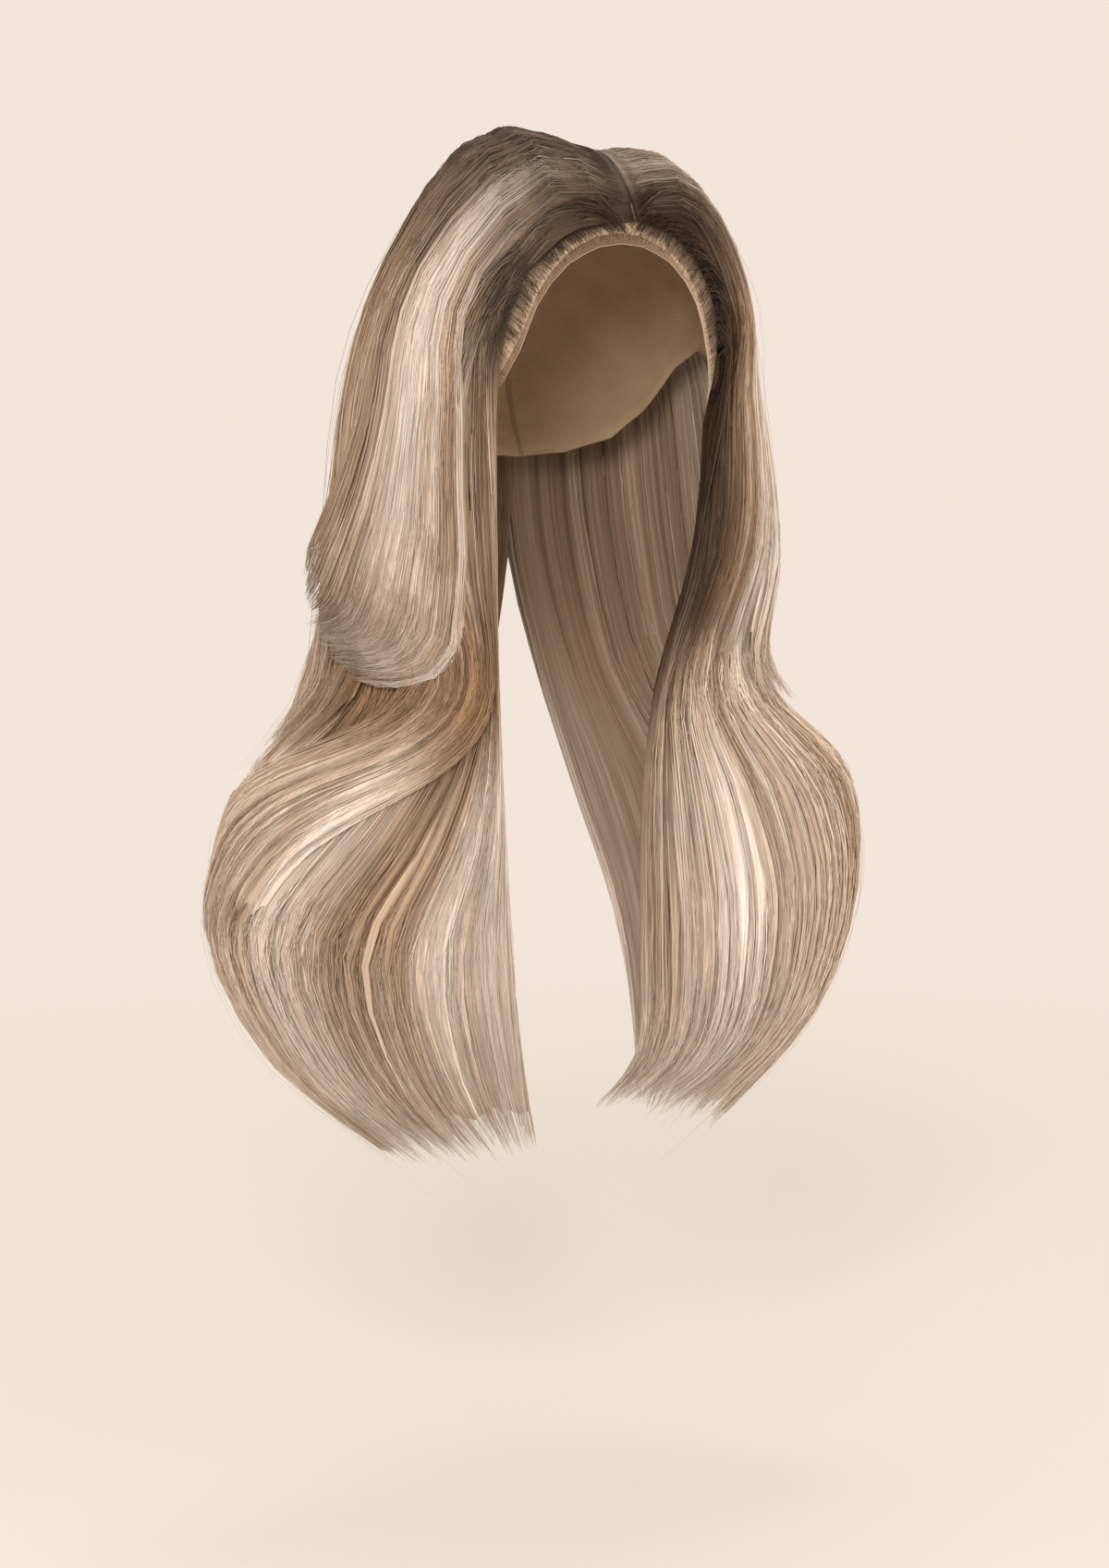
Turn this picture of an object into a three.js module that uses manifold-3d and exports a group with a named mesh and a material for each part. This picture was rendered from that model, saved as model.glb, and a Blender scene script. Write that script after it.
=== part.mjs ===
// Lace front wig, long layered hair with an off-centre part.
// Millimetres, +Z up. The face looks along -Y, and the wearer's left is +X.
// The origin is where the top of the head meets the inner face of the cap.
import * as THREE from 'three';
import { mergeVertices } from 'three/addons/utils/BufferGeometryUtils.js';
import Module from 'manifold-3d';

const wasm = await Module();
wasm.setup();

// Head hollow, an ellipsoid measured on the inner face of the cap
const headHalfBreadth = 76;
const headHalfDepth = 97;
const headHalfHeight = 95;

// Walls of the cap and of the lace panel
const capWall = 1.5;
const laceWall = 1;

// The seam between lace panel and cap is this far in front of the origin
const seamForward = 24;

// Clearances: across the seam, hair to cap, layer to layer, lock to lock
const seamGap = 0.3;
const capClearance = 0.5;
const layerGap = 0.8;
const lockGap = 1.2;
// Extra room between cap and hair away from the part, where the hair bows over the cap
const crownRelief = 1.3;

// Hair: drop from the origin to the longest tips, widest reach to each side
const hairDrop = 530;
const rightSpread = 197;
const leftSpread = 168;

// Thickness of the long fall and of the outer layers at their fullest, and of every tip
const fallDepth = 10;
const layerDepth = 9;
const tipDepth = 1.4;

// Height of the hair's long fall over the head at the part and beside it
const partLift = 3.6;
const crownLiftRight = 12;
const crownLiftLeft = 8;
// The long fall is never nearer the head than this, away from the part
const leastLift = 5;

// Depth of the valley between two locks, as a share of the thickness there
const valleyShare = 0.32;
// Length by which a lock's middle outruns its edges, in steps of the fall tables
const tipStep = 0.3;
// Most outer layers start this far from the part, in steps of the fall tables
const layerStart = 0.2;
// Shorter locks between the long ones reach this share of their length past the edges
const shortLock = 0.6;

// Steps around the head for cap and lace panel, and from the top to the edge
const capTurns = 36;
const capSteps = 7;
// Side of the blocks that cut the shell at its seam, in head half depths
const cutReach = 8;
// Section points across one lock
const stepsPerLock = 4;
// Below the part the hair comes to its full clearance over the cap within this many table rows
const settleRows = 0.5;
// Shared stations stop this many table rows short of a piece's end
const endRun = 0.5;
// Step in share and in table rows over which the fall's slopes are taken
const slopeStep = 0.02;

// Lower edge of lace panel and cap: turn in degrees from the front, drop as a share of headHalfHeight
const CAP_EDGE = [
  { turn: 0, drop: 0.48 },
  { turn: 10, drop: 0.495 },
  { turn: 17, drop: 0.535 },
  { turn: 23, drop: 0.58 },
  { turn: 30, drop: 0.685 },
  { turn: 35, drop: 0.8 },
  { turn: 41, drop: 1.03 },
  { turn: 48, drop: 1.2 },
  { turn: 58, drop: 1.34 },
  { turn: 68, drop: 1.34 },
  { turn: 78, drop: 1.14 },
  { turn: 92, drop: 1.09 },
  { turn: 106, drop: 1.2 },
  { turn: 118, drop: 1.44 },
  { turn: 132, drop: 1.6 },
  { turn: 155, drop: 1.68 },
  { turn: 180, drop: 1.7 },
];

// Sections of the long fall from the part to the tips. Each is two quarter ellipses: from the
// face edge to the side, and from the side to the back edge. The first four rows hold shares of
// the head's half sizes, and lift names how high a row lies over the head.
const CROWN_RIGHT = [
  { face: [0.1, -0.88, -0.47], side: [0.16, -0.36, -0.08], back: [0.21, 0.29, -0.04], lift: partLift },
  { face: [-0.24, -0.88, -0.53], side: [-0.47, -0.27, -0.15], back: [0.16, 0.68, -0.23], lift: crownLiftRight },
  { face: [-0.66, -0.74, -0.78], side: [-1.09, 0.04, -0.65], back: [0.12, 1.11, -0.65] },
  { face: [-0.78, -0.68, -1.26], side: [-1.37, 0.08, -1.28], back: [0.09, 1.18, -1.32] },
];
const CROWN_LEFT = [
  { face: [0.12, -0.88, -0.47], side: [0.175, -0.36, -0.08], back: [0.25, 0.29, -0.04], lift: partLift },
  { face: [0.39, -0.82, -0.53], side: [0.66, -0.27, -0.17], back: [0.19, 0.68, -0.23], lift: crownLiftLeft },
  { face: [0.74, -0.64, -0.78], side: [1.09, 0.04, -0.65], back: [0.14, 1.11, -0.65] },
  { face: [0.92, -0.31, -1.26], side: [1.34, 0.1, -1.28], back: [0.115, 1.18, -1.32] },
];
// The hanging rows hold shares of the side's spread, of headHalfDepth and of hairDrop.
// A gather above 1 draws the locks towards the face edge.
const FALL_RIGHT = [
  { face: [0.305, -0.68, -0.387], side: [0.579, 0.08, -0.387], back: [-0.03, 1.13, -0.387], gather: 1.1 },
  { face: [0.3, -0.68, -0.528], side: [0.67, 0.04, -0.521], back: [0.04, 1.03, -0.528], gather: 1.7 },
  { face: [0.289, -0.72, -0.651], side: [0.904, -0.04, -0.623], back: [0.1, 0.89, -0.651], gather: 1.3 },
  { face: [0.274, -0.74, -0.774], side: [1, -0.08, -0.74], back: [0.173, 0.68, -0.774], gather: 1 },
  { face: [0.234, -0.72, -0.896], side: [0.863, -0.19, -0.872], back: [0.254, 0.43, -0.896], gather: 1 },
  { face: [0.183, -0.64, -0.981], side: [0.497, -0.35, -0.992], back: [0.305, 0.06, -1], gather: 1 },
];
const FALL_LEFT = [
  { face: [0.381, -0.31, -0.387], side: [0.667, 0.08, -0.387], back: [0.05, 1.13, -0.387], gather: 1 },
  { face: [0.25, -0.33, -0.528], side: [0.667, 0.06, -0.521], back: [0.131, 1.03, -0.528], gather: 1.2 },
  { face: [0.2, -0.37, -0.651], side: [0.97, 0.02, -0.623], back: [0.226, 0.89, -0.651], gather: 1.1 },
  { face: [0.185, -0.41, -0.774], side: [1, -0.04, -0.732], back: [0.321, 0.68, -0.774], gather: 1 },
  { face: [0.155, -0.47, -0.887], side: [0.851, -0.12, -0.858], back: [0.333, 0.43, -0.896], gather: 1 },
  { face: [-0.04, -0.52, -0.945], side: [0.393, -0.31, -0.983], back: [0.262, 0.06, -0.972], gather: 1 },
];

// Steps down the fall, in table rows, where the solids have a section
const STATIONS = [0, 0.35, 0.7, 1, 1.3, 1.6, 2, 2.5, 3, 3.7, 4.4, 5, 5.5, 6, 6.6, 7.2, 7.8];

// Thickness down the long fall, as shares of fallDepth
const FALL_THICKNESS = [
  { at: 0, share: 0.15 },
  { at: 0.7, share: 0.42 },
  { at: 2, share: 0.6 },
  { at: 4, share: 0.75 },
  { at: 6, share: 1 },
  { at: 7.6, share: 0.8 },
  { at: 9, share: 0 },
];
// Thickness down an outer layer, as shares of layerDepth, with 1 at the layer's end
const LAYER_THICKNESS = [
  { at: 0.04, share: 0.35 },
  { at: 0.08, share: 0.8 },
  { at: 0.16, share: 1 },
  { at: 0.55, share: 0.85 },
  { at: 0.8, share: 0.6 },
  { at: 1, share: 0 },
];

// Locks across each piece
const locks = 4;

// The long fall's pieces: from and to run from 0 at the face edge to 1 at the back edge
const LONG_PIECES = [
  { name: 'long_front_right', side: 'right', from: 0, to: 0.33, end: 8.7, colour: 0xb8a690 },
  { name: 'long_side_right', side: 'right', from: 0.33, to: 0.66, end: 8.7, colour: 0xa89882 },
  { name: 'long_back_right', side: 'right', from: 0.66, to: 1, end: 8.7, colour: 0xb09f89 },
  { name: 'long_front_left', side: 'left', from: 0, to: 0.33, end: 8.7, colour: 0xb3a28c },
  { name: 'long_side_left', side: 'left', from: 0.33, to: 0.66, end: 8.7, colour: 0xa6957f },
  { name: 'long_back_left', side: 'left', from: 0.66, to: 1, end: 8.7, colour: 0xae9d87 },
];
// Outer layers. A layer starts and ends at the rows start and end, and between driftFrom and driftTo
// its span moves to endFrom and endTo. From liftFrom to liftTo it stands off the fall below.
const flickStandOff = 18;
const secondStandOff = 6;
const sideStandOff = 5;
const OUTER_LAYERS = [
  {
    name: 'front_lock_right', side: 'right', from: 0.13, to: 0.46, endFrom: 0.4, endTo: 0.66, start: layerStart,
    end: 4.95, liftFrom: 3, liftTo: 4.3, driftFrom: 4.1, driftTo: 4.95, standOff: flickStandOff, colour: 0xd6cbbb,
  },
  {
    name: 'second_lock_right', side: 'right', from: 0.05, to: 0.36, endFrom: 0.38, endTo: 0.64, start: 4.3,
    end: 7, liftFrom: 4.35, liftTo: 5, driftFrom: 4.8, driftTo: 6.2, standOff: secondStandOff, colour: 0xc9bba8,
  },
  {
    name: 'side_layer_right', side: 'right', from: 0.46, to: 0.76, endFrom: 0.56, endTo: 0.76, start: layerStart,
    end: 5.4, liftFrom: 3, liftTo: 4.6, driftFrom: 4, driftTo: 5.4, standOff: sideStandOff, colour: 0x9c8b76,
  },
  {
    name: 'back_layer_right', side: 'right', from: 0.76, to: 0.98, endFrom: 0.76, endTo: 0.99, start: layerStart,
    end: 5.9, liftFrom: 3, liftTo: 4.6, driftFrom: 4, driftTo: 5.9, standOff: sideStandOff, colour: 0xa7967f,
  },
  {
    name: 'front_lock_left', side: 'left', from: 0.04, to: 0.33, endFrom: 0.04, endTo: 0.33, start: layerStart,
    end: 4.6, liftFrom: 3, liftTo: 4.6, driftFrom: 4, driftTo: 4.6, standOff: sideStandOff, colour: 0x94836f,
  },
  {
    name: 'crown_layer_left', side: 'left', from: 0.34, to: 0.72, endFrom: 0.34, endTo: 0.72, start: layerStart,
    end: 5.15, liftFrom: 3, liftTo: 4.6, driftFrom: 4, driftTo: 5.15, standOff: sideStandOff, colour: 0xa0907b,
  },
  {
    name: 'back_layer_left', side: 'left', from: 0.72, to: 0.98, endFrom: 0.72, endTo: 0.99, start: layerStart,
    end: 5.9, liftFrom: 3, liftTo: 4.6, driftFrom: 4, driftTo: 5.9, standOff: sideStandOff, colour: 0xa7967f,
  },
];

const headCentre = new THREE.Vector3(0, 0, -headHalfHeight);
const rad = THREE.MathUtils.degToRad;
const lerp = THREE.MathUtils.lerp;
const smoothstep = THREE.MathUtils.smoothstep;

// Value of a table of { key, value } rows at a place between its rows.
function tableAt(rows, key, value, at) {
  const last = rows.length - 1;
  if (at <= rows[0][key]) return rows[0][value];
  if (at >= rows[last][key]) return rows[last][value];
  const next = rows.findIndex((row) => row[key] > at);
  const a = rows[next - 1];
  const b = rows[next];
  return lerp(a[value], b[value], (at - a[key]) / (b[key] - a[key]));
}

// A point's size measured against the head's ellipsoid grown by lift: 1 is on that surface.
function headLevel(point, lift) {
  const p = point.clone().sub(headCentre);
  return Math.hypot(
    p.x / (headHalfBreadth + lift),
    p.y / (headHalfDepth + lift),
    p.z / (headHalfHeight + lift),
  );
}

// The point moved straight from the head's centre onto the ellipsoid grown by lift.
function ontoHead(point, lift) {
  const level = headLevel(point, lift);
  return point.clone().sub(headCentre).divideScalar(level).add(headCentre);
}

// The point kept outside the ellipsoid grown by lift.
function offHead(point, lift) {
  return headLevel(point, lift) < 1 ? ontoHead(point, lift) : point;
}

// A closed geometry from sections of equal length, each a loop of outerCount points along the
// outer face and then the inner face back. The inner face has a point at every second outer one.
function loftSections(sections, outerCount) {
  const loop = sections[0].length;
  const positions = sections.flat().flatMap((p) => [p.x, p.y, p.z]);
  const index = [];
  for (let s = 0; s + 1 < sections.length; s++) {
    for (let i = 0; i < loop; i++) {
      const a = s * loop + i;
      const b = s * loop + ((i + 1) % loop);
      index.push(a, b, a + loop, b, b + loop, a + loop);
    }
  }
  for (const [base, first] of [[0, true], [(sections.length - 1) * loop, false]]) {
    const inner = (i) => base + loop - 1 - i / 2;
    for (let i = 0; i + 2 < outerCount; i += 2) {
      const o = base + i;
      const fan = [
        [o, o + 1, inner(i)],
        [o + 1, inner(i + 2), inner(i)],
        [o + 1, o + 2, inner(i + 2)],
      ];
      for (const [a, b, c] of fan) index.push(...(first ? [a, c, b] : [a, b, c]));
    }
  }
  const geometry = new THREE.BufferGeometry();
  geometry.setAttribute('position', new THREE.Float32BufferAttribute(positions, 3));
  geometry.setIndex(index);
  return geometry;
}

// Turns a closed geometry so that its faces point out.
function facingOut(geometry) {
  const index = geometry.getIndex();
  const corner = [new THREE.Vector3(), new THREE.Vector3(), new THREE.Vector3()];
  let volume = 0;
  for (let i = 0; i < index.count; i += 3) {
    corner.forEach((v, k) => v.fromBufferAttribute(geometry.attributes.position, index.getX(i + k)));
    volume += corner[0].dot(corner[1].clone().cross(corner[2]));
  }
  if (volume < 0) {
    for (let i = 0; i < index.count; i += 3) {
      const second = index.getX(i + 1);
      index.setX(i + 1, index.getX(i + 2));
      index.setX(i + 2, second);
    }
  }
  geometry.computeVertexNormals();
  return geometry;
}

function toManifold(geometry) {
  const bare = geometry.clone();
  bare.deleteAttribute('normal');
  bare.deleteAttribute('uv');
  const merged = mergeVertices(bare, 1e-4);
  return new wasm.Manifold(new wasm.Mesh({
    numProp: 3,
    vertProperties: merged.attributes.position.array,
    triVerts: new Uint32Array(merged.getIndex().array),
  }));
}

function fromManifold(solid) {
  const mesh = solid.getMesh();
  const geometry = new THREE.BufferGeometry();
  geometry.setAttribute('position', new THREE.Float32BufferAttribute(mesh.vertProperties, 3));
  geometry.setIndex(Array.from(mesh.triVerts));
  geometry.computeVertexNormals();
  return geometry;
}

// A point of the head's ellipsoid grown by lift, at a turn from the front and a share of the way
// from the top to the cap's lower edge.
function capPoint(turn, share, lift) {
  const around = Math.abs(turn) > 180 ? 360 - Math.abs(turn) : Math.abs(turn);
  const drop = tableAt(CAP_EDGE, 'turn', 'drop', around);
  const edgeAngle = Math.acos(1 - drop);
  const angle = edgeAngle * share;
  return new THREE.Vector3(
    (headHalfBreadth + lift) * Math.sin(angle) * Math.sin(rad(turn)),
    -(headHalfDepth + lift) * Math.sin(angle) * Math.cos(rad(turn)),
    (headHalfHeight + lift) * Math.cos(angle) - headHalfHeight,
  );
}

// The whole cap form from hairline to nape, open below, as a closed shell.
function capShell(wall) {
  const top = capSteps * capTurns;
  const points = [];
  const index = [];
  for (const lift of [wall, 0]) {
    for (let step = 1; step <= capSteps; step++) {
      for (let k = 0; k < capTurns; k++) points.push(capPoint((360 * k) / capTurns, step / capSteps, lift));
    }
    points.push(capPoint(0, 0, lift));
  }
  const inside = top + 1;
  for (let k = 0; k < capTurns; k++) {
    const next = (k + 1) % capTurns;
    index.push(top, k, next, inside + top, inside + next, inside + k);
    for (let step = 0; step + 1 < capSteps; step++) {
      const a = step * capTurns + k;
      const b = step * capTurns + next;
      index.push(a, a + capTurns, b, b, a + capTurns, b + capTurns);
      index.push(inside + a, inside + b, inside + a + capTurns);
      index.push(inside + b, inside + b + capTurns, inside + a + capTurns);
    }
    const rim = (capSteps - 1) * capTurns;
    index.push(rim + k, inside + rim + k, rim + next);
    index.push(rim + next, inside + rim + k, inside + rim + next);
  }
  const geometry = new THREE.BufferGeometry();
  geometry.setAttribute(
    'position', new THREE.Float32BufferAttribute(points.flatMap((p) => [p.x, p.y, p.z]), 3),
  );
  geometry.setIndex(index);
  return facingOut(geometry);
}

// The shell's part in front of the seam, or behind it.
function capPart(wall, inFront) {
  const size = cutReach * headHalfDepth;
  const block = new THREE.BoxGeometry(size, size, size);
  const seamY = -seamForward + (inFront ? -seamGap / 2 : seamGap / 2);
  block.translate(0, seamY + (inFront ? -size / 2 : size / 2), 0);
  return fromManifold(toManifold(capShell(wall)).intersect(toManifold(block)));
}

// Sections of one side's long fall, in millimetres.
function sideRows(crown, fall, spread) {
  const scaled = ([x, y, z], width, drop) => new THREE.Vector3(x * width, y * headHalfDepth, z * drop);
  const rows = crown.map((row) => ({
    ...row,
    gather: 1,
    face: scaled(row.face, headHalfBreadth, headHalfHeight),
    side: scaled(row.side, headHalfBreadth, headHalfHeight),
    back: scaled(row.back, headHalfBreadth, headHalfHeight),
  }));
  for (const row of fall) {
    rows.push({
      ...row,
      face: scaled(row.face, spread, hairDrop),
      side: scaled(row.side, spread, hairDrop),
      back: scaled(row.back, spread, hairDrop),
    });
  }
  return rows;
}

// A point of one section: two quarter ellipses from the face edge round the side to the back.
function sectionPoint(row, across) {
  const share = Math.max(across, 0) ** row.gather;
  const frontHalf = share < 0.5;
  const angle = (frontHalf ? share : 1 - share) * Math.PI;
  const end = frontHalf ? row.face : row.back;
  const point = new THREE.Vector3(
    end.x + (row.side.x - end.x) * Math.sin(angle),
    row.side.y + (end.y - row.side.y) * Math.cos(angle),
    end.z + (row.side.z - end.z) * Math.sin(angle) ** 2,
  );
  return row.lift ? ontoHead(point, row.lift) : point;
}

// A smooth run of points down the fall at one place across it.
function fallLine(rows, across) {
  return rows.map((row) => sectionPoint(row, across));
}

// A point of a centripetal curve through the line's points, at a row number.
function alongLine(line, at) {
  const k = Math.min(Math.floor(at), line.length - 2);
  const p1 = line[k];
  const p2 = line[k + 1];
  const p0 = line[k - 1] ?? p1.clone().multiplyScalar(2).sub(p2);
  const p3 = line[k + 2] ?? p2.clone().multiplyScalar(2).sub(p1);
  const t1 = Math.sqrt(p0.distanceTo(p1));
  const t2 = t1 + Math.sqrt(p1.distanceTo(p2));
  const t3 = t2 + Math.sqrt(p2.distanceTo(p3));
  const t = lerp(t1, t2, at - k);
  const mix = (a, b, ta, tb) => a.clone().lerp(b, (t - ta) / (tb - ta));
  const a1 = mix(p0, p1, 0, t1);
  const a2 = mix(p1, p2, t1, t2);
  const a3 = mix(p2, p3, t2, t3);
  const b1 = mix(a1, a2, 0, t2);
  const b2 = mix(a2, a3, t1, t3);
  return mix(b1, b2, t1, t2);
}

function fallPoint(rows, across, at) {
  const point = alongLine(fallLine(rows, across), at);
  return offHead(point, lerp(partLift, leastLift, smoothstep(at, 0, settleRows)));
}

// The fall's outward direction at a place, from its slopes across and along.
function fallNormal(rows, sign, across, at) {
  const step = slopeStep;
  const u = THREE.MathUtils.clamp(across, step, 1 - step);
  const t = THREE.MathUtils.clamp(at, step, rows.length - 1 - step);
  const acrossSlope = fallPoint(rows, u + step, t).sub(fallPoint(rows, u - step, t));
  const alongSlope = fallPoint(rows, u, t + step).sub(fallPoint(rows, u, t - step));
  return acrossSlope.cross(alongSlope).normalize().multiplyScalar(-sign);
}

const SIDES = {
  right: { sign: -1, rows: sideRows(CROWN_RIGHT, FALL_RIGHT, -rightSpread) },
  left: { sign: 1, rows: sideRows(CROWN_LEFT, FALL_LEFT, leftSpread) },
};

// Rows down one lock column: the shared stations, then two steps to the column's own end.
function columnRows(start, end, columnEnd) {
  const shared = STATIONS.filter((at) => at > start && at < end - endRun);
  const last = shared[shared.length - 1];
  return [start, ...shared, lerp(last, columnEnd, 0.5), columnEnd];
}

// A lofted piece of hair in locks. place(across, at) gives the inner and the outer face's points.
function hairPiece(piece, start, place) {
  const outerCount = locks * stepsPerLock + 1;
  const columns = [];
  for (let i = 0; i < outerCount; i++) {
    const bulge = Math.sin((Math.PI * (i % stepsPerLock)) / stepsPerLock);
    const reach = i % (2 * stepsPerLock) < stepsPerLock ? 1 : shortLock;
    const columnEnd = piece.end - tipStep + 2 * tipStep * bulge * reach;
    columns.push({ share: i / (outerCount - 1), bulge, rows: columnRows(start, piece.end, columnEnd) });
  }
  const sections = columns[0].rows.map((_, s) => {
    const outer = columns.map((column) => place(column.share, column.rows[s], column.bulge).outer);
    const inner = columns
      .filter((_, i) => i % 2 === 0)
      .map((column) => place(column.share, column.rows[s], column.bulge).inner);
    return [...outer, ...inner.reverse()];
  });
  return facingOut(loftSections(sections, outerCount));
}

// Share across the fall, drawn in from both edges of a span by half the gap between locks.
function insetShare(rows, from, to, share, at) {
  const width = fallPoint(rows, 0, at).distanceTo(fallPoint(rows, 0.5, at))
    + fallPoint(rows, 0.5, at).distanceTo(fallPoint(rows, 1, at));
  const inset = lockGap / width;
  return lerp(from + inset, to - inset, share);
}

function longPiece(piece) {
  const { rows, sign } = SIDES[piece.side];
  return hairPiece(piece, 0, (share, at, bulge) => {
    const across = insetShare(rows, piece.from, piece.to, share, at);
    const normal = fallNormal(rows, sign, across, at);
    const surface = fallPoint(rows, across, at);
    const depth = Math.max(tipDepth, fallDepth * tableAt(FALL_THICKNESS, 'at', 'share', at));
    const outer = surface.clone().addScaledVector(normal, -valleyShare * depth * (1 - bulge));
    const inner = surface.clone().addScaledVector(normal, -depth);
    const room = capClearance + crownRelief * smoothstep(at, 0, settleRows);
    return { outer, inner: offHead(inner, capWall + room) };
  });
}

function outerLayer(piece) {
  const { rows, sign } = SIDES[piece.side];
  return hairPiece(piece, piece.start, (share, at, bulge) => {
    const drift = smoothstep(at, piece.driftFrom, piece.driftTo);
    const from = lerp(piece.from, piece.endFrom, drift);
    const to = lerp(piece.to, piece.endTo, drift);
    const across = insetShare(rows, from, to, share, at);
    const normal = fallNormal(rows, sign, across, at);
    const surface = fallPoint(rows, across, at);
    const stand = layerGap + piece.standOff * smoothstep(at, piece.liftFrom, piece.liftTo);
    const depth = Math.max(tipDepth, layerDepth * tableAt(LAYER_THICKNESS, 'at', 'share', at / piece.end));
    const top = stand + depth * (1 - valleyShare * (1 - bulge));
    const outer = surface.clone().addScaledVector(normal, top);
    return { outer, inner: surface.clone().addScaledVector(normal, stand) };
  });
}

const wig = new THREE.Group();

function addPiece(name, geometry, colour, roughness) {
  const material = new THREE.MeshStandardMaterial({ color: colour, roughness, metalness: 0 });
  const mesh = new THREE.Mesh(geometry, material);
  mesh.name = name;
  wig.add(mesh);
}

addPiece('cap', capPart(capWall, false), 0xcdb79c, 0.9);
addPiece('lace_front', capPart(laceWall, true), 0xd9c4ab, 0.85);
for (const piece of LONG_PIECES) addPiece(piece.name, longPiece(piece), piece.colour, 0.5);
for (const piece of OUTER_LAYERS) addPiece(piece.name, outerLayer(piece), piece.colour, 0.5);

export default wig;
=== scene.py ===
"""Looks of a long layered lace front wig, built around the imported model, in metres."""
import math

import bpy
import numpy as np
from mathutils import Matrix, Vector


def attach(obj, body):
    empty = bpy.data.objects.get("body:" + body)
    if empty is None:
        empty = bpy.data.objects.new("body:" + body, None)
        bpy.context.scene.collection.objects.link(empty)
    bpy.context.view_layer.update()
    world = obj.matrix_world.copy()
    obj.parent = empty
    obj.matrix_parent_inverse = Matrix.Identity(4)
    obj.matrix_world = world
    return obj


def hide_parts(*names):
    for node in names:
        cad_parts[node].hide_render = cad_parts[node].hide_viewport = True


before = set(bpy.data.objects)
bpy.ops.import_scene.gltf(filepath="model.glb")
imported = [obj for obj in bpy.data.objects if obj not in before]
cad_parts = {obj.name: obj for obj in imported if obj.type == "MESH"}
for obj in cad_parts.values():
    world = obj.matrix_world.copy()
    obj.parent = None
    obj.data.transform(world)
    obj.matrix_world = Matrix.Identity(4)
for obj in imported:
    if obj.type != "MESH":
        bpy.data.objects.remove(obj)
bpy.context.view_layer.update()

MM = 0.001
rng = np.random.default_rng(2024)

# Head hollow and walls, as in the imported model
HEAD = np.array([76.0, 97.0, 95.0]) * MM
HEAD_CENTRE = np.array([0.0, 0.0, -HEAD[2]])
CAP_WALL = 1.5 * MM
LACE_WALL = 1.0 * MM
SEAM_FORWARD = 24 * MM

# Hair sizes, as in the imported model
HAIR_DROP = 530 * MM
RIGHT_SPREAD = 197 * MM
LEFT_SPREAD = 168 * MM
FALL_DEPTH = 10 * MM
LAYER_DEPTH = 9 * MM
TIP_DEPTH = 1.4 * MM
PART_LIFT = 3.6 * MM
LEAST_LIFT = 5 * MM
CROWN_LIFT_RIGHT = 12 * MM
CROWN_LIFT_LEFT = 8 * MM
LAYER_GAP = 0.8 * MM

# Lower edge of lace and cap: turn in degrees from the front, drop as a share of the head's half height
CAP_EDGE = np.array([
    (0, 0.48), (10, 0.495), (17, 0.535), (23, 0.58), (30, 0.685), (35, 0.8), (41, 1.03), (48, 1.2),
    (58, 1.34), (68, 1.34), (78, 1.14), (92, 1.09), (106, 1.2), (118, 1.44), (132, 1.6),
    (155, 1.68), (180, 1.7),
])

# Sections of the long fall from part to tips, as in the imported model: face edge, side and back edge.
# Crown rows are shares of the head's half sizes, hanging rows of spread, head half depth and drop.
CROWN_RIGHT = [
    ((0.1, -0.88, -0.47), (0.16, -0.36, -0.08), (0.21, 0.29, -0.04)),
    ((-0.24, -0.88, -0.53), (-0.47, -0.27, -0.15), (0.16, 0.68, -0.23)),
    ((-0.66, -0.74, -0.78), (-1.09, 0.04, -0.65), (0.12, 1.11, -0.65)),
    ((-0.78, -0.68, -1.26), (-1.37, 0.08, -1.28), (0.09, 1.18, -1.32)),
]
CROWN_LEFT = [
    ((0.12, -0.88, -0.47), (0.175, -0.36, -0.08), (0.25, 0.29, -0.04)),
    ((0.39, -0.82, -0.53), (0.66, -0.27, -0.17), (0.19, 0.68, -0.23)),
    ((0.74, -0.64, -0.78), (1.09, 0.04, -0.65), (0.14, 1.11, -0.65)),
    ((0.92, -0.31, -1.26), (1.34, 0.1, -1.28), (0.115, 1.18, -1.32)),
]
# The last number of a hanging row is its gather towards the face edge
HANGING_RIGHT = [
    ((0.305, -0.68, -0.387), (0.579, 0.08, -0.387), (-0.03, 1.13, -0.387), 1.1),
    ((0.3, -0.68, -0.528), (0.67, 0.04, -0.521), (0.04, 1.03, -0.528), 1.7),
    ((0.289, -0.72, -0.651), (0.904, -0.04, -0.623), (0.1, 0.89, -0.651), 1.3),
    ((0.274, -0.74, -0.774), (1, -0.08, -0.74), (0.173, 0.68, -0.774), 1),
    ((0.234, -0.72, -0.896), (0.863, -0.19, -0.872), (0.254, 0.43, -0.896), 1),
    ((0.183, -0.64, -0.981), (0.497, -0.35, -0.992), (0.305, 0.06, -1), 1),
]
HANGING_LEFT = [
    ((0.381, -0.31, -0.387), (0.667, 0.08, -0.387), (0.05, 1.13, -0.387), 1),
    ((0.25, -0.33, -0.528), (0.667, 0.06, -0.521), (0.131, 1.03, -0.528), 1.2),
    ((0.2, -0.37, -0.651), (0.97, 0.02, -0.623), (0.226, 0.89, -0.651), 1.1),
    ((0.185, -0.41, -0.774), (1, -0.04, -0.732), (0.321, 0.68, -0.774), 1),
    ((0.155, -0.47, -0.887), (0.851, -0.12, -0.858), (0.333, 0.43, -0.896), 1),
    ((-0.04, -0.52, -0.945), (0.393, -0.31, -0.983), (0.262, 0.06, -0.972), 1),
]


def smooth(x, low, high):
    s = np.clip((x - low) / (high - low), 0, 1)
    return s * s * (3 - 2 * s)


def unit(v):
    return v / np.maximum(np.linalg.norm(v, axis=-1, keepdims=True), 1e-12)


def lerp(a, b, s):
    return a + (b - a) * s


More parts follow.
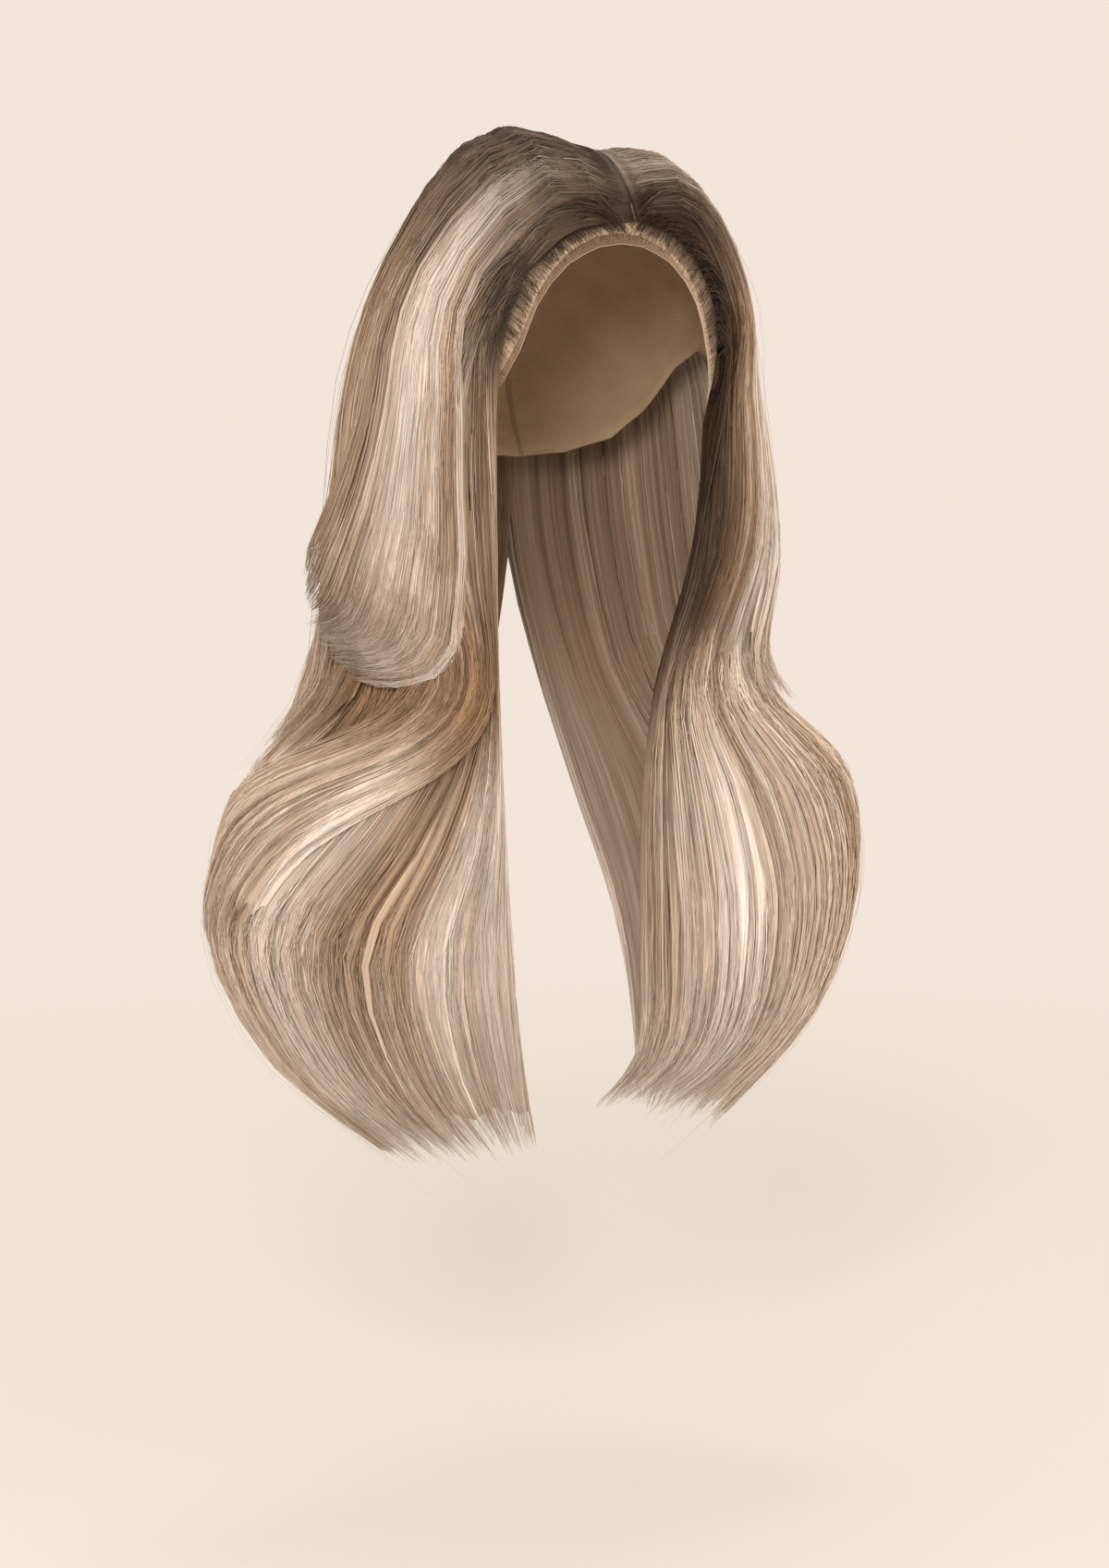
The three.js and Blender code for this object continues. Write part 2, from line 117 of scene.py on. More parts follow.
def head_level(p, lift):
    return np.linalg.norm((p - HEAD_CENTRE) / (HEAD + np.asarray(lift)[..., None]), axis=-1, keepdims=True)


def head_normal(p):
    return unit((p - HEAD_CENTRE) / HEAD ** 2)


def onto_head(p, lift):
    """The points moved straight from the head's centre onto its ellipsoid grown by lift."""
    return (p - HEAD_CENTRE) / head_level(p, lift) + HEAD_CENTRE


def off_head(p, lift):
    """The points, with any inside the head grown by lift moved out onto it."""
    level = head_level(p, lift)
    return np.where(level < 1, (p - HEAD_CENTRE) / level + HEAD_CENTRE, p)


# Past the last row a strand keeps the direction of this last stretch, in rows
TIP_RUN = 0.25
# Past the back edge it keeps the direction of this last share across, down to where the sides part
BACK_RUN = 0.03
SIDES_PART = (2.6, 3.8)
# The hair comes to its full clearance over the head within this many rows of the part
SETTLE_ROWS = 0.5
# Step in share and in rows over which the fall's slopes are taken
SLOPE_STEP = 0.02


def knot_step(a, b):
    return np.sqrt(np.linalg.norm(b - a, axis=-1, keepdims=True))


class Fall:
    """The surface that one side's hair follows. u runs from 0 at the face edge to 1 at the back edge,
    and t down the rows from 0 at the part to 9 at the tips."""

    def __init__(self, sign, spread, crown, hanging, crown_lift):
        self.sign = sign
        fall_scale = np.array([sign * spread, HEAD[1], HAIR_DROP])
        rows = [np.array(row) * HEAD for row in crown]
        rows += [np.array(row[:3]) * fall_scale for row in hanging]
        self.rows = np.stack(rows)
        self.gather = np.array([1.0] * len(crown) + [row[3] for row in hanging])
        self.lift = np.array([PART_LIFT, crown_lift] + [-1.0] * (len(rows) - 2))
        self.last = len(rows) - 1

    def section(self, k, u):
        share = np.clip(u, 0, 1) ** self.gather[k]
        front = share < 0.5
        angle = np.where(front, share, 1 - share) * np.pi
        end = np.where(front[..., None], self.rows[k, 0], self.rows[k, 2])
        side = self.rows[k, 1]
        sin, cos = np.sin(angle), np.cos(angle)
        p = np.stack([
            end[..., 0] + (side[..., 0] - end[..., 0]) * sin,
            side[..., 1] + (end[..., 1] - side[..., 1]) * cos,
            end[..., 2] + (side[..., 2] - end[..., 2]) * sin ** 2,
        ], -1)
        lift = self.lift[k]
        return np.where((lift >= 0)[..., None], onto_head(p, np.maximum(lift, 0)), p)

    def point(self, u, t):
        u, t = np.broadcast_arrays(np.asarray(u, float), np.asarray(t, float))
        inside = np.clip(t, 0, self.last)
        p = self.along(u, inside)
        over = (np.maximum(u - 1, 0) * (1 - smooth(t, *SIDES_PART)))[..., None]
        if over.any():
            p = p + (p - self.along(np.minimum(u, 1) - BACK_RUN, inside)) / BACK_RUN * over
        past = np.maximum(t - self.last, 0)[..., None]
        if past.any():
            p = p + (p - self.along(u, inside - TIP_RUN)) / TIP_RUN * past
        return off_head(p, lerp(PART_LIFT, LEAST_LIFT, smooth(t, 0, SETTLE_ROWS)))

    def along(self, u, t):
        """A point of the centripetal curve through the rows' sections."""
        k = np.minimum(t.astype(int), self.last - 1)
        p1, p2 = self.section(k, u), self.section(k + 1, u)
        p0 = np.where((k > 0)[..., None], self.section(np.maximum(k - 1, 0), u), 2 * p1 - p2)
        beyond = self.section(np.minimum(k + 2, self.last), u)
        p3 = np.where((k < self.last - 1)[..., None], beyond, 2 * p2 - p1)
        t1 = knot_step(p0, p1)
        t2 = t1 + knot_step(p1, p2)
        t3 = t2 + knot_step(p2, p3)
        at = t1 + (t2 - t1) * (t - k)[..., None]
        a1 = lerp(p0, p1, at / t1)
        a2 = lerp(p1, p2, (at - t1) / (t2 - t1))
        a3 = lerp(p2, p3, (at - t2) / (t3 - t2))
        b1 = lerp(a1, a2, at / t2)
        b2 = lerp(a2, a3, (at - t1) / (t3 - t1))
        return lerp(b1, b2, (at - t1) / (t2 - t1))

    def normal(self, u, t):
        u = np.clip(u, SLOPE_STEP, 1 - SLOPE_STEP)
        t = np.clip(t, SLOPE_STEP, self.last - SLOPE_STEP)
        across = self.point(u + SLOPE_STEP, t) - self.point(u - SLOPE_STEP, t)
        along = self.point(u, t + SLOPE_STEP) - self.point(u, t - SLOPE_STEP)
        return unit(np.cross(across, along)) * -self.sign


RIGHT = Fall(-1, RIGHT_SPREAD, CROWN_RIGHT, HANGING_RIGHT, CROWN_LIFT_RIGHT)
LEFT = Fall(1, LEFT_SPREAD, CROWN_LEFT, HANGING_LEFT, CROWN_LIFT_LEFT)

# Colours from dark to light, of dark and light roots, and of the sand-coloured lowlights, as sRGB
TONES = np.array([(56, 42, 32), (104, 86, 70), (160, 138, 119), (211, 193, 176), (243, 235, 229)]) / 255
ROOTS = np.array([(44, 32, 24), (90, 73, 58)]) / 255
SAND = np.array([186, 148, 112]) / 255

# Place across a side from the face edge to the back, tone and share of sand: of the upper hair,
# by where it grows, and of the lower hair. Beside the hair's own colours the upper tables hold painted
# sheen on the right's light band, and painted shade and painted light on the left
# The light band around 0.26 across is a dyed light streak with painted sheen on it
UPPER_RIGHT = np.array([
    (0.0, 0.36, 0.35), (0.05, 0.42, 0.3), (0.09, 0.52, 0.1), (0.12, 0.74, 0.0), (0.15, 0.6, 0.5),
    (0.18, 0.84, 0.0), (0.26, 0.98, 0.0), (0.32, 0.84, 0.0), (0.37, 0.62, 0.1), (0.42, 0.56, 0.25),
    (0.5, 0.5, 0.35), (0.62, 0.56, 0.2), (0.75, 0.5, 0.25), (0.88, 0.6, 0.1), (1.0, 0.52, 0.25),
])
LOWER_RIGHT = np.array([
    (0.0, 0.88, 0.1), (0.04, 1.0, 0.0), (0.1, 1.0, 0.0), (0.14, 0.66, 0.4), (0.22, 0.56, 0.5),
    (0.28, 0.8, 0.2), (0.34, 0.92, 0.05), (0.42, 0.8, 0.3), (0.6, 0.82, 0.25),
    (0.8, 0.84, 0.2), (1.0, 0.78, 0.3),
])
# The face edge is dark by painted shade, and the hair further back is lighter partly by painted light
UPPER_LEFT = np.array([
    (0.0, 0.08, 0.1), (0.06, 0.14, 0.3), (0.1, 0.3, 0.5), (0.16, 0.52, 0.45), (0.22, 0.7, 0.1),
    (0.3, 0.88, 0.0), (0.56, 0.84, 0.0), (0.68, 0.62, 0.1), (0.84, 0.58, 0.15), (1.0, 0.52, 0.25),
])
LOWER_LEFT = np.array([
    (0.0, 0.66, 0.15), (0.03, 0.72, 0.15), (0.07, 0.84, 0.0), (0.12, 0.99, 0.0), (0.18, 0.92, 0.05),
    (0.26, 0.82, 0.25), (0.36, 0.76, 0.45), (0.5, 0.78, 0.4), (0.75, 0.84, 0.2), (1.0, 0.78, 0.3),
])

# No hair is lighter than this tone, and the lightest takes up this much less sand
BRIGHTEST = 0.93
SAND_LOSS = 0.55

# Rows over which the upper hair's colours give way to the lower hair's
LOWER_ROWS = (4.2, 5.9)
# Light band of the right front: its middle across and its width. On the left the light comes up here
BAND_RIGHT = (0.25, 0.13)
BAND_LEFT = (0.25, 0.45)
BAND_LEFT_REACH = 1.6
# Shade on the left's face edge, between these places and rows
FACE_SHADE = 0.25
FACE_PLACES = (0.02, 0.14)
FACE_ROWS = (3.4, 4.8)
# Down these rows the hair wears to one tone and share of sand. The tone is the ends' own lighter colour,
# raised by painted light against the shade the ends get where they face down
WORN = 0.75
WORN_ROWS = (6.8, 8.4)
WORN_AND_LIT_TONE = 0.92
WORN_SAND = 0.25
# Depth of the dark roots, less towards the back on the left, the row where they begin to fade and
# the rows where they end, in plain hair and in the light band
ROOT_RIGHT = 0.97
ROOT_LEFT = (0.9, 0.6)
ROOT_LEFT_PLACES = (0.1, 0.4)
ROOT_FADE = 0.45
ROOT_ENDS = (2.8, 1.9)
# Shadow of the flicked lock on the hair below it: its row and width, and where it comes up and fades
SHADOW_ROW = 4.9
SHADOW_WIDTH = 0.45
SHADOW_COMES = (0.0, 0.1)
SHADOW_FADES = (0.5, 0.62)
SHADOW_TONE = 0.6


def linear(c):
    return np.where(c <= 0.04045, c / 12.92, ((c + 0.055) / 1.055) ** 2.4)


def hair_colour(tone, root, sand):
    """Linear colour of hair: tone from 0 dark to 1 light, root 1 at the scalp, and a share of sand."""
    at = np.clip(tone, 0, BRIGHTEST) * (len(TONES) - 1)
    k = at.astype(int)
    c = lerp(TONES[k], TONES[k + 1], (at - k)[..., None])
    c = lerp(c, SAND, (np.clip(sand, 0, 1) * (1 - SAND_LOSS * np.clip(tone, 0, 1)))[..., None])
    root_colour = lerp(ROOTS[0], ROOTS[1], np.clip(tone, 0, 1)[..., None])
    return linear(lerp(c, root_colour, np.clip(root, 0, 1)[..., None]))


def zones(fall, u, t, hang):
    """Mean tone, dark root and sand of the hair at a place. hang is the place across where it grows."""
    upper, lower = (UPPER_RIGHT, LOWER_RIGHT) if fall is RIGHT else (UPPER_LEFT, LOWER_LEFT)
    low = smooth(t, *LOWER_ROWS)
    tone, sand = (
        lerp(np.interp(hang, upper[:, 0], upper[:, k]), np.interp(u, lower[:, 0], lower[:, k]), low)
        for k in (1, 2)
    )
    if fall is RIGHT:
        band = np.exp(-(((hang - BAND_RIGHT[0]) / BAND_RIGHT[1]) ** 2))
        deep = ROOT_RIGHT
    else:
        band = smooth(hang, *BAND_LEFT) * BAND_LEFT_REACH
        deep = lerp(*ROOT_LEFT, smooth(hang, *ROOT_LEFT_PLACES))
        tone = tone - FACE_SHADE * (1 - smooth(u, *FACE_PLACES)) * (1 - smooth(t, *FACE_ROWS))
    worn = WORN * smooth(t, *WORN_ROWS)
    root = deep * (1 - smooth(t, ROOT_FADE, lerp(*ROOT_ENDS, band)))
    # The worn ends' tone holds painted light as well as their own lighter colour
    return lerp(tone, WORN_AND_LIT_TONE, worn), root, lerp(sand, WORN_SAND, worn)


def flick_shadow(u, t):
    """Darker, browner hair below the flicked lock."""
    down = np.exp(-(((t - SHADOW_ROW) / SHADOW_WIDTH) ** 2))
    return down * smooth(u, *SHADOW_COMES) * (1 - smooth(u, *SHADOW_FADES))


def row_noise(count, octaves):
    """A smooth random run of values from -1 to 1, with finer waves on coarse ones."""
    x = np.linspace(0, 1, count)
    total = np.zeros(count)
    for waves, height in octaves:
        knots = rng.uniform(-1, 1, waves + 2)
        total += height * np.interp(x, np.linspace(0, 1, waves + 2), knots)
    return total


# Light and dark streaks across each side, shared by all that lies there: numbers of waves and heights
STREAK_WAVES = [(14, 0.06), (60, 0.11), (210, 0.09)]
STREAK_PLACES = np.linspace(0, 1, 900)
STREAKS = {side: row_noise(len(STREAK_PLACES), STREAK_WAVES) for side in (RIGHT, LEFT)}


def streak(fall, u):
    return np.interp(u, STREAK_PLACES, STREAKS[fall])


def attribute_colours(mesh, colours):
    layer = mesh.color_attributes.new("Hair", "FLOAT_COLOR", "POINT")
    rgba = np.ones((len(mesh.vertices), 4), np.float32)
    rgba[:, :3] = colours
    layer.data.foreach_set("color", rgba.ravel())


def flow_map(mesh, flow):
    """UV map Flow: millimetres across and along the hair."""
    layer = mesh.uv_layers.new(name="Flow")
    loops = np.zeros(len(mesh.loops), np.int32)
    mesh.loops.foreach_get("vertex_index", loops)
    layer.data.foreach_set("uv", flow[loops].astype(np.float32).ravel())


def mesh_from(name, points, quads, triangles=()):
    mesh = bpy.data.meshes.new(name)
    faces = np.asarray(quads).reshape(-1, 4).tolist() + np.asarray(triangles, int).reshape(-1, 3).tolist()
    mesh.from_pydata(np.asarray(points).tolist(), [], faces)
    mesh.shade_smooth()
    mesh.validate()
    obj = bpy.data.objects.new(name, mesh)
    bpy.context.scene.collection.objects.link(obj)
    return obj


def place(obj, material, slot, *nodes):
    obj.data.materials.append(material)
    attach(obj, "root")
    if nodes:
        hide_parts(*nodes)
    return obj


def ring_tubes(name, rings, colours=None, flow=None):
    """Closed tubes from rings of shape (count, stations, sides, 3), joined as one mesh."""
    n, s, sides, _ = rings.shape
    base = (np.arange(n) * s * sides)[:, None, None] + (np.arange(s - 1) * sides)[None, :, None]
    i = np.arange(sides)[None, None, :]
    j = (i + 1) % sides
    quads = np.stack([base + i, base + i + sides, base + j + sides, base + j], -1)
    start = (np.arange(n) * s * sides)[:, None]
    end = start + (s - 1) * sides
    fan = np.arange(1, sides - 1)
    first = np.stack([start + 0 * fan, start + fan, start + fan + 1], -1)
    last = np.stack([end + 0 * fan, end + fan + 1, end + fan], -1)
    caps = np.concatenate([first.reshape(-1, 3), last.reshape(-1, 3)])
    obj = mesh_from(name, rings.reshape(-1, 3), quads, caps)
    if colours is not None:
        attribute_colours(obj.data, np.repeat(colours.reshape(-1, 3), sides, axis=0))
    if flow is not None:
        flow_map(obj.data, flow.reshape(-1, 2))
    return obj


def tubes(name, paths, facing, radius, colours=None, sides=3):
    """Closed tapered round tubes along paths of shape (count, stations, 3)."""
    tangent = unit(np.gradient(paths, axis=1))
    across = unit(np.cross(tangent, facing))
    outward = unit(np.cross(across, tangent))
    angle = (np.arange(sides) * 2 * np.pi / sides + np.pi / 2)[:, None]
    ring = np.cos(angle) * across[:, :, None, :] + np.sin(angle) * outward[:, :, None, :]
    return ring_tubes(name, paths[:, :, None, :] + ring * radius[:, :, None, None], colours)


def add_node(tree, kind, inputs, **settings):
    """A shader node whose inputs are each set to a value or linked from a socket."""
    node = tree.nodes.new("ShaderNode" + kind)
    for key, value in settings.items():
        setattr(node, key, value)
    for key, value in inputs.items():
        if isinstance(value, bpy.types.NodeSocket):
            tree.links.new(value, node.inputs[key])
        else:
            node.inputs[key].default_value = value
    return node


def new_material(name, roughness, specular):
    material = bpy.data.materials.new(name)
    material.use_nodes = True
    shader = material.node_tree.nodes["Principled BSDF"]
    shader.inputs["Roughness"].default_value = roughness
    shader.inputs["Specular IOR Level"].default_value = specular
    return material, material.node_tree, shader


# Nearly all of a noise node's values lie in this span
NOISE_SPAN = (0.3, 0.7)


def noise_range(tree, source, scale, detail, low, high):
    """Noise stretched by scale over source, spread from low to high. Gives both outputs."""
    stretch = add_node(tree, "Mapping", {"Vector": source, "Scale": scale})
    noise = add_node(tree, "TexNoise", {"Vector": stretch.outputs["Vector"], "Scale": 1.0, "Detail": detail})
    height = noise.outputs["Fac"]
    ends = {"From Min": NOISE_SPAN[0], "From Max": NOISE_SPAN[1], "To Min": low, "To Max": high}
    return height, add_node(tree, "MapRange", {"Value": height, **ends}).outputs["Result"]


def shaded(tree, colour, factors, shader):
    """The colour, a socket or plain numbers, times each factor, into the shader's base colour."""
    for factor in factors:
        shade = add_node(tree, "VectorMath", {0: colour, "Scale": factor}, operation="SCALE")
        colour = shade.outputs["Vector"]
    tree.links.new(colour, shader.inputs["Base Color"])


def bumped(tree, height, strength, distance, shader):
    bump = add_node(tree, "Bump", {"Height": height, "Strength": strength, "Distance": distance})
    tree.links.new(bump.outputs["Normal"], shader.inputs["Normal"])


def combed_hair():
    """Hair as a combed surface: fine and broad streaks that run along the UV map Flow."""
    material, tree, shader = new_material("combed_hair", 0.55, 0.14)
    colour = add_node(tree, "Attribute", {}, attribute_name="Hair").outputs["Color"]
    flow = add_node(tree, "UVMap", {}, uv_map="Flow").outputs["UV"]
    fine, fine_shade = noise_range(tree, flow, (1.9, 0.012, 1), 2.0, 0.7, 1.25)
    _, broad_shade = noise_range(tree, flow, (0.42, 0.006, 1), 1.0, 0.84, 1.14)
    shaded(tree, colour, (fine_shade, broad_shade), shader)
    bumped(tree, fine, 0.6, 0.5 * MM, shader)
    return material


def strand_hair():
    """Single strands: their own colour, a little uneven along their length."""
    material, tree, shader = new_material("strand_hair", 0.42, 0.25)
    colour = add_node(tree, "Attribute", {}, attribute_name="Hair").outputs["Color"]
    where = add_node(tree, "TexCoord", {}).outputs["Object"]
    _, shade = noise_range(tree, where, (120, 120, 30), 1.0, 0.93, 1.06)
    shaded(tree, colour, (shade,), shader)
    return material


COMBED_HAIR = combed_hair()
STRAND_HAIR = strand_hair()

# Thickness down the fall and down an outer layer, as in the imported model
FALL_THICKNESS = np.array([(0, 0.15), (0.7, 0.42), (2, 0.6), (4, 0.75), (6, 1), (7.6, 0.8), (9, 0)])
LAYER_THICKNESS = np.array([(0.04, 0.35), (0.08, 0.8), (0.16, 1), (0.55, 0.85), (0.8, 0.6), (1, 0)])

# The flicked front lock hangs straight to its bend and then swings out in an arc: per edge of the
# lock, the bend's row, the arc's drop in rows and its turn in degrees. The arc reaches this far
# across, and this share of the strand is straight.
FLICK_BEND = (3.75, 3.0)
FLICK_DROP = (1.15, 1.3)
FLICK_TURN = (98, 62)
FLICK_REACH = 0.36
FLICK_STRAIGHT = 0.6
# Down these rows it wears to one tone and share of sand, and then its turned end is lighter by painted light
# on its curve
FLICK_WORN_ROWS = (3.3, 4.4)
FLICK_TONE = 0.67
FLICK_SAND = 0.15
FLICK_PAINTED_LIGHT_ROWS = (4.3, 4.8)
FLICK_END_PAINTED_LIGHT = 0.19
# Share of its stand-off that its inner edge keeps, and the places across where the rest comes in
FLICK_EDGE = 0.25
FLICK_EDGE_PLACES = (-0.05, 0.5)
# An outer layer draws in towards the hair below it over this many rows before its end
LAID_ROWS = 1.2

# The hair keeps back from the hairline by this share across the fall, by row
BARE_LACE = np.array([(0, 0.2), (1, 0.18), (2, 0.09), (3, 0)])

# Lengths of a row step and of the full span, to turn places on a fall into millimetres
ROW_MM = 75
SPAN_MM = 340


class Piece:
    """The hair over one span of a fall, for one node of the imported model."""

    def __init__(self, name, fall, span, end, slot, start=0.0, end_span=None, stand_off=None,
                 lift=(3, 4.6), drift=None, flick=False, thin=1.0, laid=0.4):
        self.name, self.fall, self.span, self.end, self.slot = name, fall, span, end, slot
        self.start, self.end_span, self.stand_off, self.lift = start, end_span or span, stand_off, lift
        self.drift, self.flick, self.thin, self.laid = drift or (4, end), flick, thin, laid
        self.outer = stand_off is not None

    def flow(self, share, w, t_root, late):
        """Place (u, t) on the fall at a share across the piece and at w from 0, root, to 1, tip."""
        if self.flick:
            bend, drop, turn = (lerp(*pair, share) for pair in (FLICK_BEND, FLICK_DROP, FLICK_TURN))
            angle = np.radians(turn) * np.clip((w - FLICK_STRAIGHT) / (1 - FLICK_STRAIGHT), 0, 1) * (1 + late)
            hang = t_root + (bend - t_root) * np.minimum(w / FLICK_STRAIGHT, 1)
            u, t = lerp(*self.span, share) + FLICK_REACH * (1 - np.cos(angle)), hang + drop * np.sin(angle)
            return self.behind_lace(u, t), t
        t = t_root + (self.end + late - t_root) * w
        drift = smooth(t, *self.drift)
        return self.behind_lace(lerp(lerp(*self.span, share), lerp(*self.end_span, share), drift), t), t

    def behind_lace(self, u, t):
        return u + np.interp(t, BARE_LACE[:, 0], BARE_LACE[:, 1]) * (1 - np.clip(u, 0, 1)) ** 2

    def hue(self, share, u, t):
        """Tone, root and sand at a place of this piece."""
        tone, root, sand = zones(self.fall, u, t, lerp(*self.span, share))
        if self.flick:
            worn = WORN * smooth(t, *FLICK_WORN_ROWS)
            # The turned end's rise in tone is painted light
            tone = lerp(tone, FLICK_TONE, worn) + FLICK_END_PAINTED_LIGHT * smooth(t, *FLICK_PAINTED_LIGHT_ROWS)
            return tone, root, lerp(sand, FLICK_SAND, worn)
        shadow = SHADOW_TONE * flick_shadow(u, t) if self.fall is RIGHT else 0
        return tone - shadow, root, sand + shadow

    def depth(self, t):
        if self.outer:
            share = np.interp(t / self.end, LAYER_THICKNESS[:, 0], LAYER_THICKNESS[:, 1])
            return np.maximum(TIP_DEPTH, LAYER_DEPTH * share) * self.thin
        return np.maximum(TIP_DEPTH, FALL_DEPTH * np.interp(t, FALL_THICKNESS[:, 0], FALL_THICKNESS[:, 1]))

    def foot(self, t, share):
        """Height of the piece's inner face over the fall's surface."""
        if not self.outer:
            return -self.depth(t)
        if self.flick:
            kept = lerp(FLICK_EDGE, 1, smooth(share, *FLICK_EDGE_PLACES))
        else:
            kept = lerp(1, self.laid, smooth(t, self.end - LAID_ROWS, self.end))
        return LAYER_GAP + self.stand_off * smooth(t, *self.lift) * kept


LONG_SPANS = {"front": (0, 0.33), "side": (0.33, 0.66), "back": (0.66, 1)}
LONG_END = 8.7
PIECES = [
    Piece(f"long_{part}_{side}", fall, span, LONG_END, "hair_long")
    for side, fall in (("right", RIGHT), ("left", LEFT)) for part, span in LONG_SPANS.items()
]
PIECES += [
    Piece("front_lock_right", RIGHT, (0.12, 0.46), 4.95, "hair_highlight", stand_off=15 * MM, lift=(3, 4.3),
          flick=True),
    Piece("second_lock_right", RIGHT, (0.05, 0.36), 7, "hair_highlight", start=3.7, end_span=(0.36, 0.64),
          stand_off=1.5 * MM, lift=(4.3, 5), drift=(4.4, 6.4), thin=0.45),
    Piece("side_layer_right", RIGHT, (0.46, 0.76), 5.4, "hair_layer", end_span=(0.56, 0.76),
          stand_off=5 * MM),
    Piece("back_layer_right", RIGHT, (0.76, 0.98), 5.9, "hair_layer", end_span=(0.76, 0.99),
          stand_off=5 * MM),
    Piece("front_lock_left", LEFT, (0.04, 0.33), 4.6, "hair_layer", stand_off=5 * MM),
    Piece("crown_layer_left", LEFT, (0.34, 0.72), 5.15, "hair_layer", stand_off=5 * MM, laid=1.0),
    Piece("back_layer_left", LEFT, (0.72, 0.98), 5.9, "hair_layer", end_span=(0.72, 0.99), stand_off=5 * MM),
]
BY_NAME = {piece.name: piece for piece in PIECES}


# Hair lies close to the cap at the face edge between these places, down these rows, and along the
# part, where this share of its height is free within these rows
CLOSE_PLACES = (-0.02, 0.3)
CLOSE_ROWS = (1.3, 2.8)
PART_FREE = 0.3
PART_ROWS = (0, 0.7)
CAP_CLEARANCE = 0.5 * MM
CLOSE_LIFT = 1 * MM


def settled(fall, u, t, height):
    """Points at a height over the fall, drawn down onto the cap along the hairline and the part."""
    surface, normal = fall.point(u, t), fall.normal(u, t)
    free = lerp(smooth(u, *CLOSE_PLACES), 1, smooth(t, *CLOSE_ROWS))
    free = free * lerp(PART_FREE, 1, smooth(t, *PART_ROWS))
    raised = surface + normal * height[..., None]
    hugging = onto_head(surface, np.full(t.shape, CAP_WALL + CLOSE_LIFT))
    return off_head(lerp(hugging, raised, free[..., None]), CAP_WALL + CAP_CLEARANCE), normal


def sheet_faces(rows, columns, wrapped=False):
    """Faces of a closed sheet: an outer grid, an inner grid and a rim between them. A wrapped sheet
    joins its last column to its first."""
    steps = columns if wrapped else columns - 1
    r, c = np.meshgrid(np.arange(rows - 1), np.arange(steps), indexing="ij")
    a, b = (r * columns + c).ravel(), (r * columns + (c + 1) % columns).ravel()
    half = rows * columns
    sheet = np.stack([a, b, b + columns, a + columns], -1)
    head, onward = np.arange(steps), (np.arange(steps) + 1) % columns
    tail = (rows - 1) * columns
    faces = [
        sheet, sheet[:, ::-1] + half,
        np.stack([head, head + half, onward + half, onward], -1),
        np.stack([head + tail, onward + tail, onward + tail + half, head + tail + half], -1),
    ]
    if not wrapped:
        left = np.arange(rows - 1) * columns
        right = left + columns - 1
        faces.append(np.stack([left, left + columns, left + columns + half, left + half], -1))
        faces.append(np.stack([right, right + half, right + columns + half, right + columns], -1))
    return np.concatenate(faces)


BODY_COLUMNS = 66
BODY_ROWS = 30
# Ridges and ragged end of a body: numbers of waves and heights. Outer bodies' ends are more ragged.
RIDGE_WAVES = [(9, 0.5), (24, 0.4), (70, 0.3)]
RIDGE = 1.1 * MM
END_WAVES = [(9, 0.08), (40, 0.05)]
OUTER_RAGGED = 3
# A body ends this many rows above the strands, and is never thinner than this
BODY_SHORT = 0.34
BODY_THIN = 0.25 * MM
# The flicked lock's ends vary by this share of the others', and its inner corner is cut off here
FLICK_LATE = 0.4
CORNER_CUT = 0.3
CORNER_PLACES = (-0.05, 0.2)
# A body reaches this far past its span and sinks there, so that neighbours meet in a shallow valley
BODY_LAP = 0.05
# A piece that starts below the part comes up from this far inside the hair under it
START_SINK = 7 * MM
# Painted shade on the hidden inner face: its colour as a share of the outer one
INSIDE_SHADE = np.array([0.62, 0.56, 0.5])
# Height at which neighbours meet on the crown, as a share of their depth, and sink along the part
CROWN_VALLEY = 0.66
PART_SINK = 1.5 * MM


